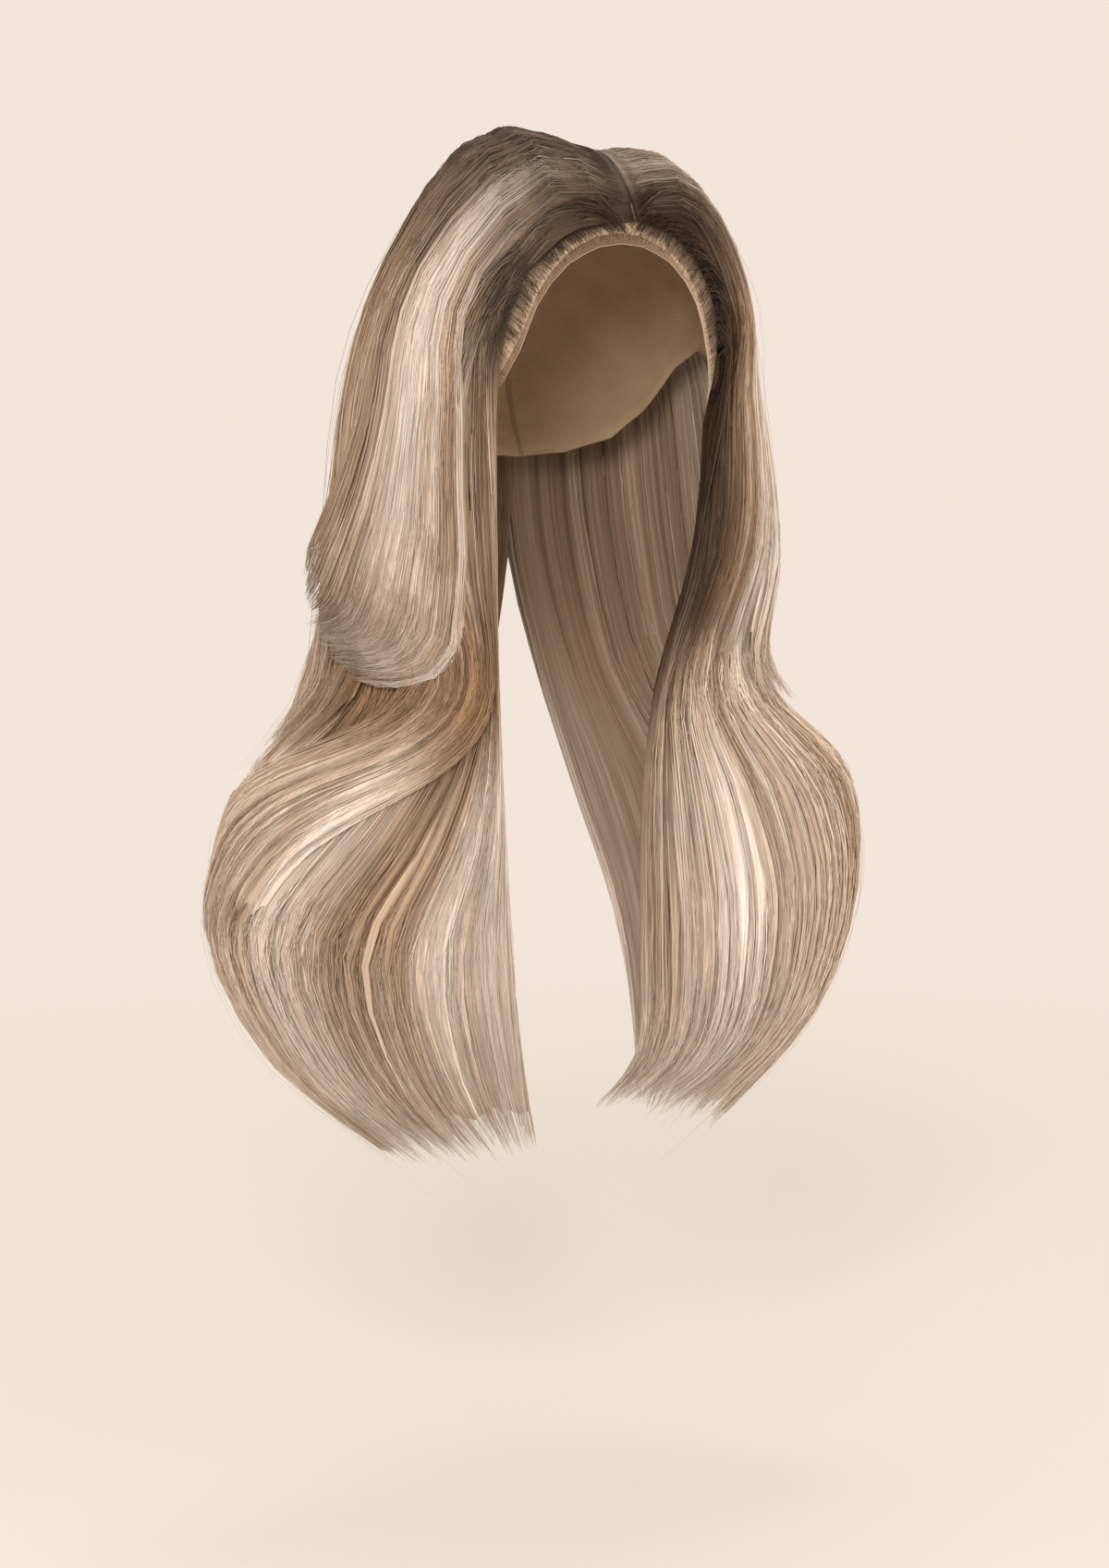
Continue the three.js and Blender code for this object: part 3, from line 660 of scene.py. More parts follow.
def hair_body(piece):
    """The combed mass under the strands: a closed sheet with fine ridges that run with the hair."""
    share = np.linspace(-BODY_LAP, 1 + BODY_LAP, BODY_COLUMNS)[None, :]
    ridges = row_noise(BODY_COLUMNS, RIDGE_WAVES)[None, :]
    ragged = OUTER_RAGGED if piece.outer else 1
    late = ragged * row_noise(BODY_COLUMNS, END_WAVES)[None, :] - BODY_SHORT
    if piece.flick:
        late = late * FLICK_LATE - CORNER_CUT * (1 - smooth(share, *CORNER_PLACES))
    w = (np.linspace(0, 1, BODY_ROWS) ** 1.05)[:, None]
    u, t = piece.flow(share, w, piece.start, late)
    edge = np.minimum(share, 1 - share) + BODY_LAP
    margin = 2.5 * BODY_LAP / piece.thin ** 1.3
    rounded = np.sqrt(1 - (1 - np.clip(edge / margin, 0, 1)) ** 2)
    depth = piece.depth(t) * lerp(1, 0.3, smooth(w, 0.78, 1))
    base = piece.foot(t, share)
    if piece.start > 1:
        base = base - START_SINK * (1 - smooth(w, 0, 0.25))
    valley = lerp(CROWN_VALLEY, 0.3, smooth(t, 1.5, 3.5))
    if piece.flick or piece.name == "front_lock_left":
        valley = lerp(0.05, valley, smooth(share, 0, 0.5))
    top = base + depth * lerp(valley, 0.8, rounded) + ridges * np.minimum(depth * 0.14, RIDGE)
    top = top - PART_SINK * (1 - smooth(t, 0, 0.3))
    foot = np.minimum(base + depth * 0.1, top - 1.2 * BODY_THIN)
    outer, _ = settled(piece.fall, u, t, top)
    inner, _ = settled(piece.fall, u, t, foot)
    thin = np.linalg.norm(outer - inner, axis=-1, keepdims=True) < BODY_THIN
    inward = unit(inner - outer + (HEAD_CENTRE - outer) * 1e-3)
    inner = np.where(thin, outer + inward * BODY_THIN, inner)
    faces = sheet_faces(BODY_ROWS, BODY_COLUMNS)
    if piece.fall is LEFT:
        faces = faces[:, ::-1]
    obj = mesh_from(piece.name + "_body", np.concatenate([outer.reshape(-1, 3), inner.reshape(-1, 3)]), faces)
    tone, root, sand = piece.hue(share, u, t)
    colour = hair_colour(tone + streak(piece.fall, u), root, sand)
    # The inner face is darkened by painted shade
    attribute_colours(obj.data, np.concatenate([colour.reshape(-1, 3), INSIDE_SHADE * colour.reshape(-1, 3)]))
    flow = np.stack([u * SPAN_MM, t * ROW_MM], -1).reshape(-1, 2)
    flow_map(obj.data, np.concatenate([flow, flow]))
    return place(obj, COMBED_HAIR, piece.slot, piece.name)


# The tips are drawn this much darker in tone, because nothing shades them
TIP_SHADE = 0.02

LOCK_STATIONS = 22
LOCK_SIDES = 6
LOCK_MM_PER_SHARE = 110
# A lock's half width as a share of its room, its thickness as a share of its width, and the least
LOCK_WIDTH = 0.85
LOCK_FLATNESS = 0.22
LOCK_LEAST = 0.12 * MM
# Height of a lock's middle in the piece's depth, and its slow sway across the fall
LOCK_LEVEL = 0.72
LOCK_SWAY = 0.006


def hair_locks(piece, count, t_root):
    """Flattened tapered locks that lap over one another on the combed mass and run out past it."""
    share = (np.arange(count) + 0.5) / count + rng.normal(0, 0.25 / count, count)
    share = np.clip(share, 0.01, 0.99)[:, None]
    half = (LOCK_WIDTH / count) * rng.uniform(0.7, 1.4, (count, 1))
    w = np.linspace(0, 1, LOCK_STATIONS)[None, :]
    taper = lerp(1.0, 0.05, smooth(w, 0.6, 1) ** 0.8) * lerp(0.15, 1, smooth(w, 0, 0.15))
    late = rng.normal(-0.14, 0.12, (count, 1)) * (FLICK_LATE if piece.flick else 1)
    root = np.full((count, 1), t_root)
    sway = LOCK_SWAY * np.sin(2.2 * w * np.pi + rng.uniform(0, 6.28, (count, 1))) * smooth(w, 0.2, 0.8)
    centre = piece.flow(share, w, root, late)
    sides = [piece.flow(np.clip(share + k * half * taper, -0.02, 1.02), w, root, late) for k in (-1, 1)]
    lift = rng.uniform(-0.05, 0.2, (count, 1)) * smooth(w, 0.02, 0.3)

    def at(place):
        u, t = place
        return settled(piece.fall, u + sway, t, piece.foot(t, share) + piece.depth(t) * (LOCK_LEVEL + lift))

    middle, normal = at(centre)
    (left, _), (right, _) = at(sides[0]), at(sides[1])
    across = (right - left) / 2
    tilt = rng.normal(0, 0.16, (count, 1))[..., None]
    across = across + normal * np.linalg.norm(across, axis=-1, keepdims=True) * tilt
    thick = np.maximum(np.linalg.norm(across, axis=-1) * LOCK_FLATNESS, LOCK_LEAST)[..., None]
    angle = (np.arange(LOCK_SIDES) * 2 * np.pi / LOCK_SIDES)[:, None]
    rings = middle[:, :, None, :] + np.cos(angle) * across[:, :, None, :]
    rings = rings + np.sin(angle) * (normal * thick)[:, :, None, :]
    if piece.fall is LEFT:
        rings = rings[:, :, ::-1]
    u, t = centre
    tone, dark, sand = piece.hue(share, u, t)
    tone = tone + streak(piece.fall, u) + rng.normal(0, 0.06, (count, 1)) - TIP_SHADE * smooth(w, 0.85, 1)
    colours = hair_colour(tone, dark, sand)
    spread = np.cos(angle)[:, 0] * half[:, :, None] * taper[:, :, None] * LOCK_MM_PER_SHARE
    down = np.broadcast_to(t[:, :, None] * ROW_MM, spread.shape)
    flow = np.stack([u[:, :, None] * SPAN_MM + spread, down], -1)
    obj = ring_tubes(piece.name + "_locks", rings, colours, flow)
    return place(obj, COMBED_HAIR, piece.slot, piece.name)


# Rows over which hair at the part rises from the cap
CAP_RISE = 0.07

# Half widths of strands at their widest: each drawn strand stands for a small bundle of real hairs
STRAND = 0.27 * MM
HAIRLINE_STRAND = 0.2 * MM
FINE_END = 0.18 * MM
LOOSE_HAIR = 0.13 * MM


def strand_radius(count, stations, base):
    w = np.linspace(0, 1, stations)[None, :]
    shape = (0.7 + 0.3 * smooth(w, 0, 0.1)) * lerp(1.0, 0.25, smooth(w, 0.66, 1.0))
    return base * rng.lognormal(0, 0.25, (count, 1)) * shape


def clumps_by(share, clumps):
    """Clump numbers from places across a piece, with ragged borders."""
    at = np.clip(share + rng.normal(0, 0.3 / clumps, share.shape), 0, 0.9999)
    return (at * clumps).astype(int)


def strand_colours(piece, share, u, t, clump, tip_from=0.8, shift=0.0):
    count = u.shape[0]
    light = rng.random((count, 1)) < 0.2
    dark = rng.random((count, 1)) < 0.13
    tone, root, sand = piece.hue(share[:, None], u, t)
    clump_tone = rng.normal(0, 0.07, clump.max() + 1)[clump][:, None]
    own = rng.normal(0, 0.09, (count, 1)) + 0.16 * light - 0.22 * dark
    ends = smooth(np.linspace(0, 1, u.shape[1])[None, :], tip_from, 1)
    tone = tone + streak(piece.fall, u) + clump_tone + own + shift - TIP_SHADE * ends
    root = root * np.clip(rng.normal(0.95, 0.16, (count, 1)), 0.4, 1.1)
    return hair_colour(tone, root, sand + rng.normal(0, 0.13, (count, 1)))


def strand_field(piece, share, t_root, late, level, above, clump, stations, pull=0.5, wave=1.0 * MM,
                 frizz=0.35 * MM, from_cap=None, surfacing=True, w_from=0.0):
    """Paths of strands of a piece. Strands of one clump draw together towards their tips. Those with
    from_cap start on the cap, and the others come up from inside the mass when surfacing."""
    count = len(share)
    w = np.linspace(w_from, 1, stations)[None, :]
    members = np.maximum(np.bincount(clump), 1)
    mean = (np.bincount(clump, share) / members)[clump]
    gathered = share[:, None] + (mean - share)[:, None] * pull * smooth(w, 0.15, 0.95)
    u, t = piece.flow(gathered, w, t_root[:, None], late[:, None])
    since = t - t[:, :1]
    phase = rng.uniform(0, 2 * np.pi, (len(members), 2))[clump]
    own = rng.uniform(0, 2 * np.pi, (count, 2))
    grown = smooth(since, 0.3, 2.5)
    per_mm = 1000 / SPAN_MM
    u = u + grown * wave * per_mm * np.sin(1.1 * t + phase[:, :1])
    u = u + frizz * per_mm * smooth(w, 0.2, 1) * np.sin(2.3 * t + own[:, :1])
    rise = lerp(0.3, 1, smooth(since, 0, 0.9)) if surfacing else 1.0
    if from_cap is not None:
        rise = np.where(from_cap[:, None] > 0, 1.0, rise)
    height = piece.foot(t, gathered) + piece.depth(t) * level[:, None] * rise
    height = height + above[:, None] * smooth(w, 0.05, 0.4)
    height = height + grown * 0.6 * wave * np.sin(1.4 * t + phase[:, 1:])
    height = height + 0.5 * frizz * np.sin(3 * t + own[:, 1:])
    paths, normal = settled(piece.fall, u, t, height)
    if from_cap is not None:
        base = onto_head(paths, np.full(t.shape, CAP_WALL))
        paths = lerp(paths, base, (from_cap[:, None] * np.exp(-since / CAP_RISE))[..., None])
    return paths, normal, u, t


def strand_piece(piece, tag, share, t_root, late, level, above, clump, stations, width=STRAND,
                 tip_from=0.8, shift=0.0, **shape):
    """One object of strands of a piece, by where each grows, how late it ends and how high it lies."""
    paths, normal, u, t = strand_field(piece, share, t_root, late, level, above, clump, stations, **shape)
    colours = strand_colours(piece, share, u, t, clump, tip_from, shift)
    radius = strand_radius(len(share), stations, width)
    obj = tubes(f"{piece.name}_{tag}", paths, normal, radius, colours)
    return place(obj, STRAND_HAIR, piece.slot, piece.name)


def end_rows(clump, clumps, mean, clump_spread, spread):
    """Rows by which strands end late: some for each clump, and each strand a little earlier."""
    return mean + rng.normal(0, clump_spread, clumps)[clump] - np.abs(rng.normal(0, spread, len(clump)))


# Share of an outer layer's strands that root at the part. The others come up further down.
AT_PART = 0.75


def outer_strands(piece, count, stations, clumps):
    share = rng.uniform(-0.04, 1.12 if piece.span[1] > 0.9 else 1.04, count)
    clump = clumps_by(share, clumps)
    at_part = rng.random(count) < AT_PART
    t_root = np.where(at_part, rng.uniform(0.0, 0.12, count), 0.2 + 2.2 * rng.random(count) ** 1.3)
    if piece.start > 1:
        t_root = piece.start - rng.uniform(0, 0.5, count)
    late = end_rows(clump, clumps, 0.1, 0.12, 0.26)
    if piece.flick:
        late = late * 0.35
    if piece.thin < 1:
        late = late * 2.2 - 0.3
    level = 1 - 0.45 * rng.random(count) ** 2
    above = np.abs(rng.normal(0, 0.5, count)) * MM
    from_cap = at_part.astype(float) if piece.start < 1 else None
    strand_piece(piece, "strands", share, t_root, late, level, above, clump, stations, from_cap=from_cap)


def tip_strands(piece, count, stations, clumps):
    """Short fine ends that feather the last stretch of a piece."""
    share = rng.uniform(-0.03, 1.03, count)
    clump = clumps_by(share, clumps)
    stretch = 0.3 if piece.flick else rng.uniform(1.1, 1.5) / (piece.end - piece.start)
    late = end_rows(clump, clumps, 0.14, 0.05, 0.26)
    if piece.flick:
        late = late * FLICK_LATE
    level = 1 - 0.9 * rng.random(count)
    above = rng.normal(0, 0.5, count) * MM
    strand_piece(
        piece, "ends", share, np.full(count, piece.start), late, level, above, clump, stations,
        width=FINE_END, tip_from=0.3, pull=0.3, surfacing=False, w_from=1 - stretch,
    )


# Row down to which the flicked lock hides the hair below it
FLICK_COVER = 3.4


def covered_to(piece, u):
    """Row down to which outer layers hide a long piece at u, or 0 where none lies over it."""
    cover = np.zeros(u.shape)
    for layer in PIECES:
        if layer.outer and layer.fall is piece.fall and layer.start < 1:
            over = (u > layer.span[0]) & (u < layer.span[1])
            cover = np.where(over, FLICK_COVER if layer.flick else layer.end - LAID_ROWS, cover)
    return cover


# Share of a long piece's strands that lie on its inner face
INNER = 0.12


def long_strands(piece, count, stations, clumps):
    share = rng.uniform(-0.01, 1.01, count)
    clump = clumps_by(share, clumps)
    covered = covered_to(piece, lerp(*piece.span, share))
    t_root = np.where(covered > 0, covered - rng.uniform(0, 0.8, count), rng.uniform(0, 0.15, count))
    late = end_rows(clump, clumps, 0.14, 0.07, 0.28)
    inside = rng.random(count) < INNER
    level = np.where(inside, 0.02 + 0.08 * rng.random(count), 1 - 0.28 * rng.random(count) ** 2)
    t_root = np.where(inside, rng.uniform(2.2, 3.6, count), t_root)
    above = np.where(inside, 0, np.abs(rng.normal(0, 0.5, count))) * MM
    from_cap = np.where(t_root < 0.2, 1.0, 0.0)
    # Strands on the inner face are darker in tone by painted shade
    strand_piece(
        piece, "strands", share, t_root, late, level, above, clump, stations, shift=-0.1 * inside[:, None],
        wave=1.3 * MM, from_cap=from_cap,
    )


def fly_away(piece, count, stations):
    """Single loose hairs a little clear of the mass."""
    share = rng.uniform(0, 1, count)
    clump = np.arange(count)
    t_root = rng.uniform(0.2, 3.5, count) if piece.outer else rng.uniform(3.5, 6.5, count)
    late = rng.normal(0.15, 0.2, count) * (FLICK_LATE if piece.flick else 1)
    above = rng.uniform(0.5, 3.5, count) * MM
    strand_piece(
        piece, "loose", share, t_root, late, np.ones(count), above, clump, stations, width=LOOSE_HAIR,
        pull=0, wave=3.5 * MM,
    )


for piece in PIECES:
    hair_body(piece)
    if piece.outer:
        hair_locks(piece, 24, max(piece.start, 0.08))
        outer_strands(piece, 480 if piece.flick else 390, 15, 20)
        tip_strands(piece, 220, 6, 40)
    else:
        hair_locks(piece, 26, 3.2 if piece.name != "long_front_right" else 1.0)
        long_strands(piece, 340, 15, 22)
        tip_strands(piece, 540, 6, 70)
    fly_away(piece, 12, 14)


def cap_edge_angle(turn):
    around = np.abs((turn + 180) % 360 - 180)
    return np.arccos(1 - np.interp(around, CAP_EDGE[:, 0], CAP_EDGE[:, 1]))


def cap_at(turn, angle, lift):
    """A point of the head's ellipsoid grown by lift, by degrees round and radians down from the top."""
    round_about = np.radians(turn)
    grown = HEAD + lift if np.isscalar(lift) else HEAD + lift[..., None]
    return np.stack([
        grown[..., 0] * np.sin(angle) * np.sin(round_about),
        -grown[..., 1] * np.sin(angle) * np.cos(round_about),
        grown[..., 2] * np.cos(angle) - HEAD[2],
    ], -1)


HEAD_RADIUS = 0.088
EDGE_TURNS = np.linspace(-76, 76, 305)
EDGE_POINTS = cap_at(EDGE_TURNS, cap_edge_angle(EDGE_TURNS), LACE_WALL / 2)
EDGE_LENGTH = np.concatenate([[0], np.cumsum(np.linalg.norm(np.diff(EDGE_POINTS, axis=0), axis=1))])


def lace_point(along, back, lift):
    """A point of the lace, by metres along its front edge and metres back from it."""
    turn = np.interp(along, EDGE_LENGTH, EDGE_TURNS)
    return cap_at(turn, cap_edge_angle(turn) - back / HEAD_RADIUS, lift)


def fabric_material(name, colour, scale, strength, roughness):
    """A plain fine knit or net: crossed ribs in the UV map Flow, in millimetres."""
    material, tree, shader = new_material(name, roughness, 0.25)
    flow = add_node(tree, "UVMap", {}, uv_map="Flow").outputs["UV"]
    waves = {"Vector": flow, "Scale": scale, "Distortion": 0.6}
    ribs = [add_node(tree, "TexWave", waves, bands_direction=way).outputs["Fac"] for way in "XY"]
    height = add_node(tree, "Math", dict(enumerate(ribs)), operation="MULTIPLY").outputs["Value"]
    spread = add_node(tree, "MapRange", {"Value": height, "To Min": 0.72, "To Max": 1.08})
    _, uneven = noise_range(tree, flow, (0.05, 0.05, 1), 2.0, 0.9, 1.08)
    ground = tuple(linear(np.array(colour) / 255))
    shaded(tree, ground, (spread.outputs["Result"], uneven), shader)
    bumped(tree, height, strength, 0.3 * MM, shader)
    return material


LACE_CLOTH = fabric_material("lace_cloth", (228, 198, 170), 0.9, 0.5, 0.8)
CAP_KNIT = fabric_material("cap_knit", (196, 168, 138), 0.35, 0.8, 0.85)

NET_DEPTH = 13 * MM
NET_PITCH = 1.25 * MM
NET_THREAD = 0.085 * MM
NET_SLANT = 0.9
EDGE_THREAD = 0.16 * MM


def lace_threads(name, paths, radius, sides):
    obj = tubes(name, paths, head_normal(paths), np.full(paths.shape[:2], radius), sides=sides)
    flow_map(obj.data, np.zeros((len(obj.data.vertices), 2)))
    return place(obj, LACE_CLOTH, "lace", "lace_front")


def lace_net():
    """Open net along the front edge, of two families of slanting threads."""
    starts = np.arange(-NET_DEPTH, EDGE_LENGTH[-1] + NET_DEPTH, NET_PITCH)
    back = np.linspace(0, NET_DEPTH, 9)[None, :]
    paths = []
    for slant in (NET_SLANT, -NET_SLANT):
        along = starts[:, None] + slant * back
        keep = (along.min(1) > 0) & (along.max(1) < EDGE_LENGTH[-1])
        depth = np.broadcast_to(back, along.shape)
        paths.append(lace_point(along[keep], depth[keep], LACE_WALL / 2))
    return lace_threads("lace_net", np.concatenate(paths), NET_THREAD, 3)


def lace_edge():
    along = np.linspace(0, EDGE_LENGTH[-1], 240)[None, :]
    return lace_threads("lace_edge", lace_point(along, np.zeros(along.shape), LACE_WALL / 2), EDGE_THREAD, 5)


SEAM_TURN = 75.4


def seam_angle(turn, side):
    """Angle down from the top at which the seam's plane cuts the head, on its front or back side."""
    seam_y = SEAM_FORWARD + side * 0.15 * MM
    reach = HEAD[1] * np.cos(np.radians(np.clip(np.abs(turn), 0, 89)))
    return np.arcsin(np.clip(seam_y / reach, 0, 1))


def shell(name, turns, first, last, outer_lift, inner_lift, rows, material, slot, node, wrapped=False):
    """A closed shell over the head between two angles down from the top, given for each turn."""
    share = np.linspace(0, 1, rows)[:, None]
    angle = lerp(first[None, :], last[None, :], share)
    turn = np.broadcast_to(turns[None, :], angle.shape)
    points = [cap_at(turn, angle, lift).reshape(-1, 3) for lift in (outer_lift, inner_lift)]
    obj = mesh_from(name, np.concatenate(points), sheet_faces(rows, len(turns), wrapped)[:, ::-1])
    flow = np.stack([np.radians(turn) * 80 * np.sin(np.maximum(angle, 0.2)), angle * 88], -1).reshape(-1, 2)
    flow_map(obj.data, np.concatenate([flow, flow]))
    return place(obj, material, slot, node)


def lace_panel():
    turns = np.linspace(-75, 75, 91)
    edge = cap_edge_angle(turns)
    front = edge - 0.45 * NET_DEPTH / HEAD_RADIUS
    seam = np.minimum(seam_angle(turns, 1), front - 0.01)
    return shell("lace_panel", turns, seam, front, 0.7 * MM, 0.3 * MM, 16, LACE_CLOTH, "lace", "lace_front")


def cap_body():
    turns = np.concatenate([
        np.linspace(-180, -SEAM_TURN, 40), np.linspace(-SEAM_TURN + 0.6, SEAM_TURN - 0.6, 50),
        np.linspace(SEAM_TURN, 180, 40)[:-1],
    ])
    edge = cap_edge_angle(turns)
    last = np.where(np.abs(turns) < SEAM_TURN, np.minimum(seam_angle(turns, -1), edge), edge)
    first = np.full(turns.shape, 0.004)
    return shell(
        "cap_body", turns, first, last, CAP_WALL, 0.2 * MM, 26, CAP_KNIT, "cap_knit", "cap", wrapped=True,
    )


lace_net()
lace_edge()
lace_panel()
cap_body()

# Turns of the hairline, in degrees from the front, and the rows of the fall that they reach
HAIRLINE_TURNS = np.array([5, -12, -35, -43, -60])
HAIRLINE_TURNS_LEFT = np.array([7, 25, 40, 48, 62])
HAIRLINE_ROWS = np.array([0.0, 1.0, 2.0, 2.7, 3.2])


# Stations of a hairline strand over its arch and down the rest
ARCH_STATIONS = 8
REST_STATIONS = 10
# The arches clear the head by this much, those from deeper in the lace by more
ARCH_LIFT = (4.5 * MM, 8.5 * MM)
ARCH_START = 0.3 * MM
# A hairline strand takes on the piece's colour between these lengths from its root
ROOT_LENGTHS = (8 * MM, 70 * MM)


def lace_roots(turn, back):
    """Roots in the lace by degrees round and metres back from its edge: angle, point, upward, outward."""
    angle = cap_edge_angle(turn) - back / HEAD_RADIUS
    root = cap_at(turn, angle, LACE_WALL)
    return angle, root, unit(cap_at(turn, angle - 0.05, LACE_WALL) - root), head_normal(root)


def hairline_strands(piece, count, share_range, rows_range, longest, back_range):
    """Strands that root in the lace, arch up and back over the hairline and join a piece's flow. They
    lie in nested arcs: those from nearest the part arch widest."""
    row = rng.uniform(*rows_range, count)
    low = (row - rows_range[0]) / (rows_range[1] - rows_range[0])
    deep = rng.random(count) ** 0.8
    table = HAIRLINE_TURNS if piece.fall is RIGHT else HAIRLINE_TURNS_LEFT
    turn = np.interp(row, HAIRLINE_ROWS, table)
    angle, root, upward, outward = lace_roots(turn, lerp(*back_range, deep))
    sideways = unit(cap_at(turn + piece.fall.sign, angle, LACE_WALL) - root)
    t_join = row + 1.0 + 0.3 * rng.random(count)
    share = lerp(share_range[1], share_range[0], low ** 0.8) + 0.12 * (deep - 0.5)
    share = np.clip(share + rng.normal(0, 0.02, count), *share_range)
    clump = clumps_by(low, 24)
    late = rng.uniform(*longest, count) - piece.end if not piece.flick else rng.normal(-0.02, 0.06, count)
    above = np.abs(rng.normal(0.3, 0.4, count)) * MM
    rest, normal, u, t = strand_field(
        piece, share, t_join, late, np.ones(count), above, clump, REST_STATIONS, pull=0.3, frizz=0.2 * MM,
        surfacing=False,
    )
    onward = unit(rest[:, 1] - rest[:, 0])
    span = np.linalg.norm(rest[:, 0] - root, axis=-1, keepdims=True)
    start_pull = 0.75 * upward + 0.4 * outward + 0.4 * sideways + rng.normal(0, 0.04, (count, 3))
    start_pull = unit(start_pull) * span * 1.2
    end_pull = onward * span * 1.1
    s = np.linspace(0, 1, ARCH_STATIONS)[None, :-1, None]
    arch = (2 * s ** 3 - 3 * s ** 2 + 1) * root[:, None] + (s ** 3 - 2 * s ** 2 + s) * start_pull[:, None]
    arch = arch + (3 * s ** 2 - 2 * s ** 3) * rest[:, :1] + (s ** 3 - s ** 2) * end_pull[:, None]
    arch = off_head(arch, lerp(ARCH_START, lerp(*ARCH_LIFT, deep)[:, None], smooth(s[..., 0], 0, 0.4)))
    paths = np.concatenate([arch, rest], axis=1)
    facing = np.concatenate([np.repeat(outward[:, None], ARCH_STATIONS - 1, axis=1), normal], axis=1)
    hues = strand_colours(piece, share, u, t, clump, shift=-0.03)
    hues = np.concatenate([np.repeat(hues[:, :1], ARCH_STATIONS - 1, axis=1), hues], axis=1)
    steps = np.linalg.norm(np.diff(paths, axis=1), axis=-1)
    grown = np.concatenate([np.zeros((count, 1)), np.cumsum(steps, axis=1)], axis=1)
    own = np.clip(rng.normal(0.5, 0.45, (count, 1, 1)), 0, 1.4)
    colours = lerp(linear(lerp(ROOTS[0], ROOTS[1], own)), hues, smooth(grown, *ROOT_LENGTHS)[..., None])
    radius = strand_radius(count, paths.shape[1], HAIRLINE_STRAND) * lerp(0.35, 1, smooth(grown, 0, 20 * MM))
    obj = tubes(piece.name + "_hairline", paths, facing, radius, colours)
    return place(obj, STRAND_HAIR, piece.slot, piece.name)


# Reach of the roots back from the lace's edge, for the long hair and for the front locks over it
NEAR_EDGE = (3.5 * MM, 10 * MM)
BEHIND_EDGE = (8 * MM, 21 * MM)
# Piece, strands, places across it, rows of the roots, rows of the ends, reach of the roots
HAIRLINES = [
    ("long_front_right", 380, (0.0, 0.36), (0.0, 2.7), (5.0, LONG_END), NEAR_EDGE),
    ("front_lock_right", 330, (0.0, 0.6), (0.0, 2.4), (4.0, 5.0), BEHIND_EDGE),
    ("long_front_left", 200, (0.0, 0.3), (0.0, 2.7), (5.0, LONG_END), NEAR_EDGE),
    ("front_lock_left", 240, (0.0, 0.7), (0.0, 2.4), (3.8, 4.7), BEHIND_EDGE),
]
for name, *places in HAIRLINES:
    hairline_strands(BY_NAME[name], *places)

# Baby hairs root up to this far from the lace's edge, and the deepest are longest
BABY_REACH = (0.6 * MM, 12.6 * MM)
BABY_LENGTHS = (2.5 * MM, 10 * MM)
BABY_STATIONS = 5


def baby_hairs(count):
    """Short fine hairs knotted into the lace along its edge."""
    table = np.concatenate([HAIRLINE_TURNS[::-1], HAIRLINE_TURNS_LEFT[1:]])
    turn = rng.uniform(table[0], table[-1], count)
    back = lerp(*BABY_REACH, rng.random(count) ** 0.8)
    _, root, upward, outward = lace_roots(turn, back)
    sideways = np.cross(upward, outward) * np.sign(turn - HAIRLINE_TURNS[0])[:, None]
    lean = unit(upward + 0.55 * sideways + rng.normal(0, 0.22, (count, 3)))
    length = lerp(*BABY_LENGTHS, back / (13 * MM) * rng.uniform(0.4, 1, count))[:, None]
    s = np.linspace(0, 1, BABY_STATIONS)[None, :, None]
    bend = -0.3 * sideways * length
    paths = root[:, None] + lean[:, None] * length[:, None] * s
    paths = paths + outward[:, None] * 2.2 * MM * np.sin(s * 2.4)
    paths = off_head(paths + bend[:, None] * s ** 2, np.full((count, BABY_STATIONS), LACE_WALL))
    shade = rng.uniform(0.3, 1.2, (count, 1, 1))
    colours = np.broadcast_to(linear(lerp(ROOTS[0], ROOTS[1], shade)), (count, BABY_STATIONS, 3))
    radius = np.linspace(0.08, 0.04, BABY_STATIONS)[None, :] * rng.uniform(0.8, 1.2, (count, 1)) * MM
    obj = tubes("baby_hairs", paths, np.repeat(outward[:, None], BABY_STATIONS, axis=1), radius, colours)
    return place(obj, STRAND_HAIR, "hair_layer", "lace_front")


baby_hairs(1000)

# Floor: its level, radius and paint, and how far out it is solid and has faded away
FLOOR_Z = -0.70
FLOOR_RADIUS = 3
FLOOR_PAINT = (0.79, 0.76, 0.72, 1)
FLOOR_SOLID = 0.5
FLOOR_FADED = 1.5


def floor():
    """A pale floor that fades out into the studio's backdrop colour."""
    bpy.ops.mesh.primitive_circle_add(
        vertices=96, radius=FLOOR_RADIUS, fill_type="NGON", location=(0, 0, FLOOR_Z),
    )
    obj = bpy.context.object
    obj.name = "floor"
    material, tree, shader = new_material("floor_paint", 0.9, 0.1)
    shader.inputs["Base Color"].default_value = FLOOR_PAINT
    where = add_node(tree, "TexCoord", {}).outputs["Object"]
    out = add_node(tree, "VectorMath", {0: where}, operation="LENGTH").outputs["Value"]
    ends = {"From Min": FLOOR_SOLID, "From Max": FLOOR_FADED, "To Min": 1.0, "To Max": 0.0}
    fade = add_node(tree, "MapRange", {"Value": out, **ends}, interpolation_type="SMOOTHSTEP")
    tree.links.new(fade.outputs["Result"], shader.inputs["Alpha"])
    obj.data.materials.append(material)


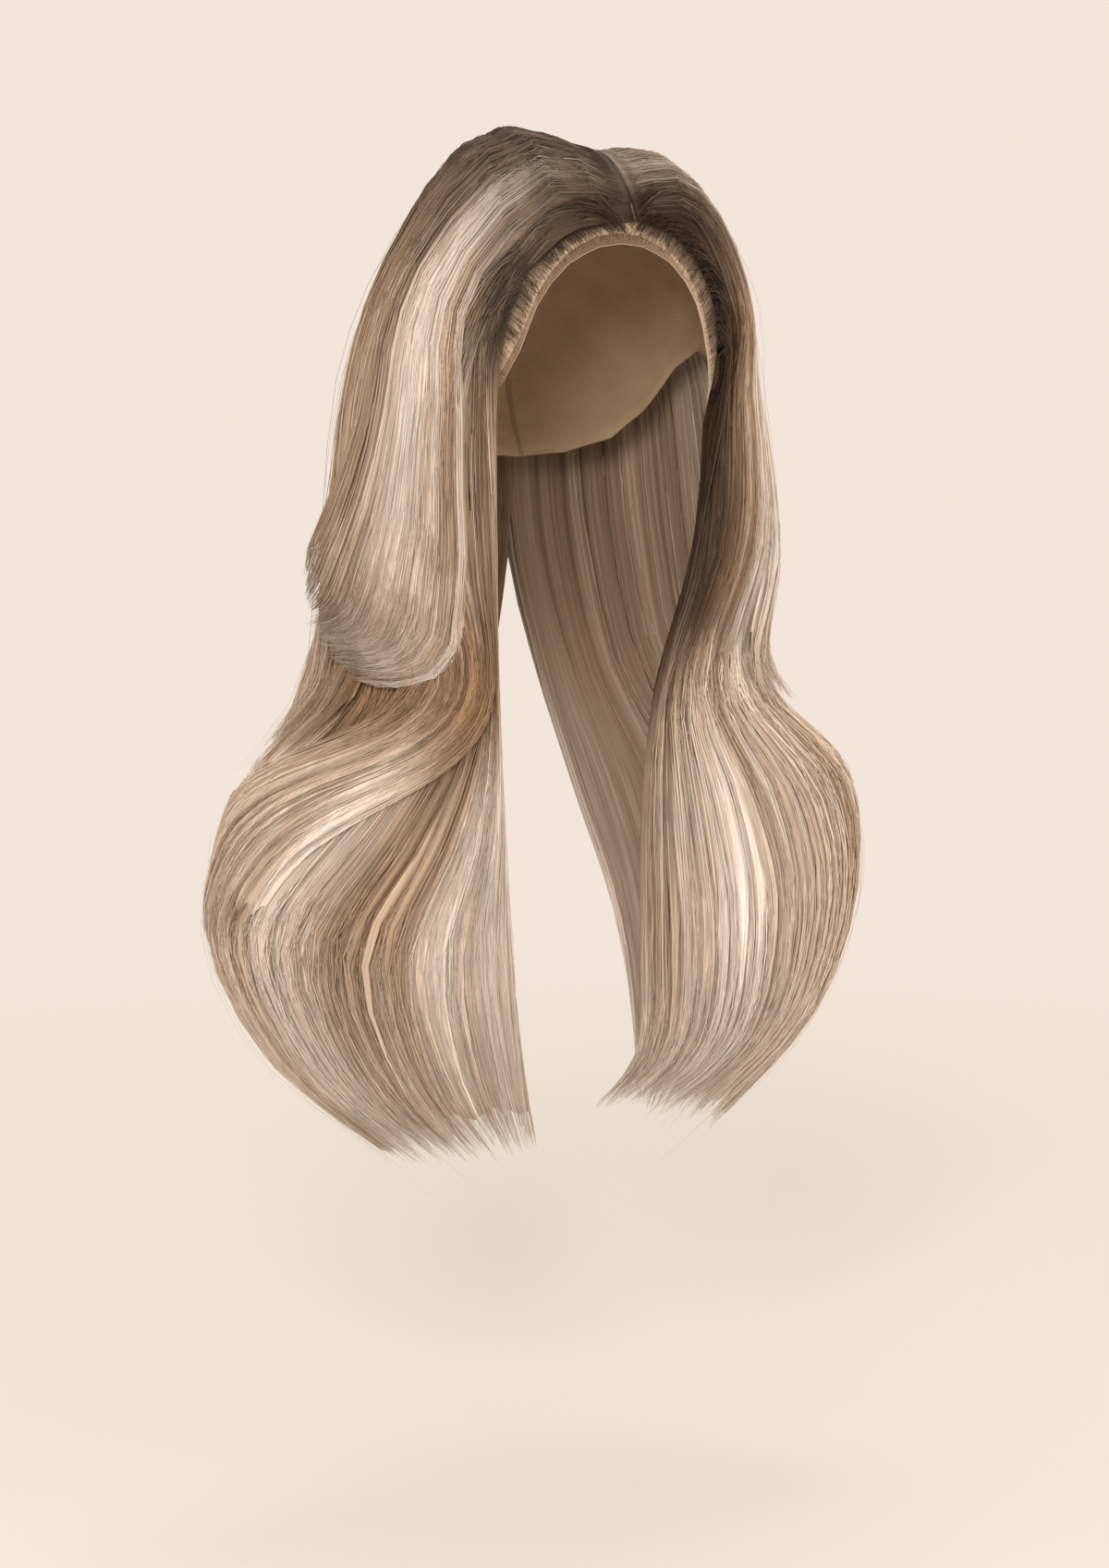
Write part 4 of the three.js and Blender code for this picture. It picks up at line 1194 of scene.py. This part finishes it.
def area_light(name, at, target, size, power, colour):
    light = bpy.data.lights.new(name, "AREA")
    light.shape = "DISK"
    light.size = size
    light.energy = power
    light.color = colour
    obj = bpy.data.objects.new(name, light)
    obj.location = at
    obj.rotation_mode = "QUATERNION"
    obj.rotation_quaternion = (Vector(target) - Vector(at)).to_track_quat("-Z", "Y")
    bpy.context.scene.collection.objects.link(obj)


BACKDROP = (0.893, 0.788, 0.694, 1)
WARM_WHITE = (1.0, 0.97, 0.93)


def lights():
    world = bpy.data.worlds.new("studio")
    world.use_nodes = True
    world.node_tree.nodes["Background"].inputs["Color"].default_value = BACKDROP
    world.node_tree.nodes["Background"].inputs["Strength"].default_value = 1.0
    bpy.context.scene.world = world
    middle = (0, 0, -0.25)
    area_light("key", (-1.3, -2.5, 0.9), middle, 1.0, 40, WARM_WHITE)
    area_light("fill", (1.7, -2.3, -0.1), middle, 1.2, 18, WARM_WHITE)
    area_light("top", (0.3, 0.6, 1.7), (0, 0, -0.1), 0.8, 6, (1.0, 0.98, 0.96))


# Camera: 100 mm lens on a 36 mm long side, 20 degrees round to the wearer's right
PHOTO = (1200, 1697)
PHOTO_MM = 2.04
LENS = 100.0
SENSOR = 36.0
CAMERA_TURN = math.radians(-20.0)
CAMERA_RISE = math.radians(8.3)
AXIS_X = 610
MIDDLE_Z = -331.5 * MM


def camera():
    distance = LENS / SENSOR * PHOTO[1] / PHOTO_MM * MM
    back = Vector((
        math.sin(CAMERA_TURN) * math.cos(CAMERA_RISE), -math.cos(CAMERA_TURN) * math.cos(CAMERA_RISE),
        math.sin(CAMERA_RISE),
    ))
    right = Vector((math.cos(CAMERA_TURN), math.sin(CAMERA_TURN), 0))
    aim = Vector((0, 0, MIDDLE_Z)) - right * ((AXIS_X - PHOTO[0] / 2) / PHOTO_MM * MM)
    data = bpy.data.cameras.new("camera")
    data.lens = LENS
    data.sensor_width = SENSOR
    data.clip_start = 0.05
    obj = bpy.data.objects.new("camera", data)
    obj.location = aim + back * distance
    obj.rotation_mode = "QUATERNION"
    obj.rotation_quaternion = (-back).to_track_quat("-Z", "Y")
    bpy.context.scene.collection.objects.link(obj)
    bpy.context.scene.camera = obj


floor()
lights()
camera()
bpy.context.scene.view_settings.view_transform = "Standard"
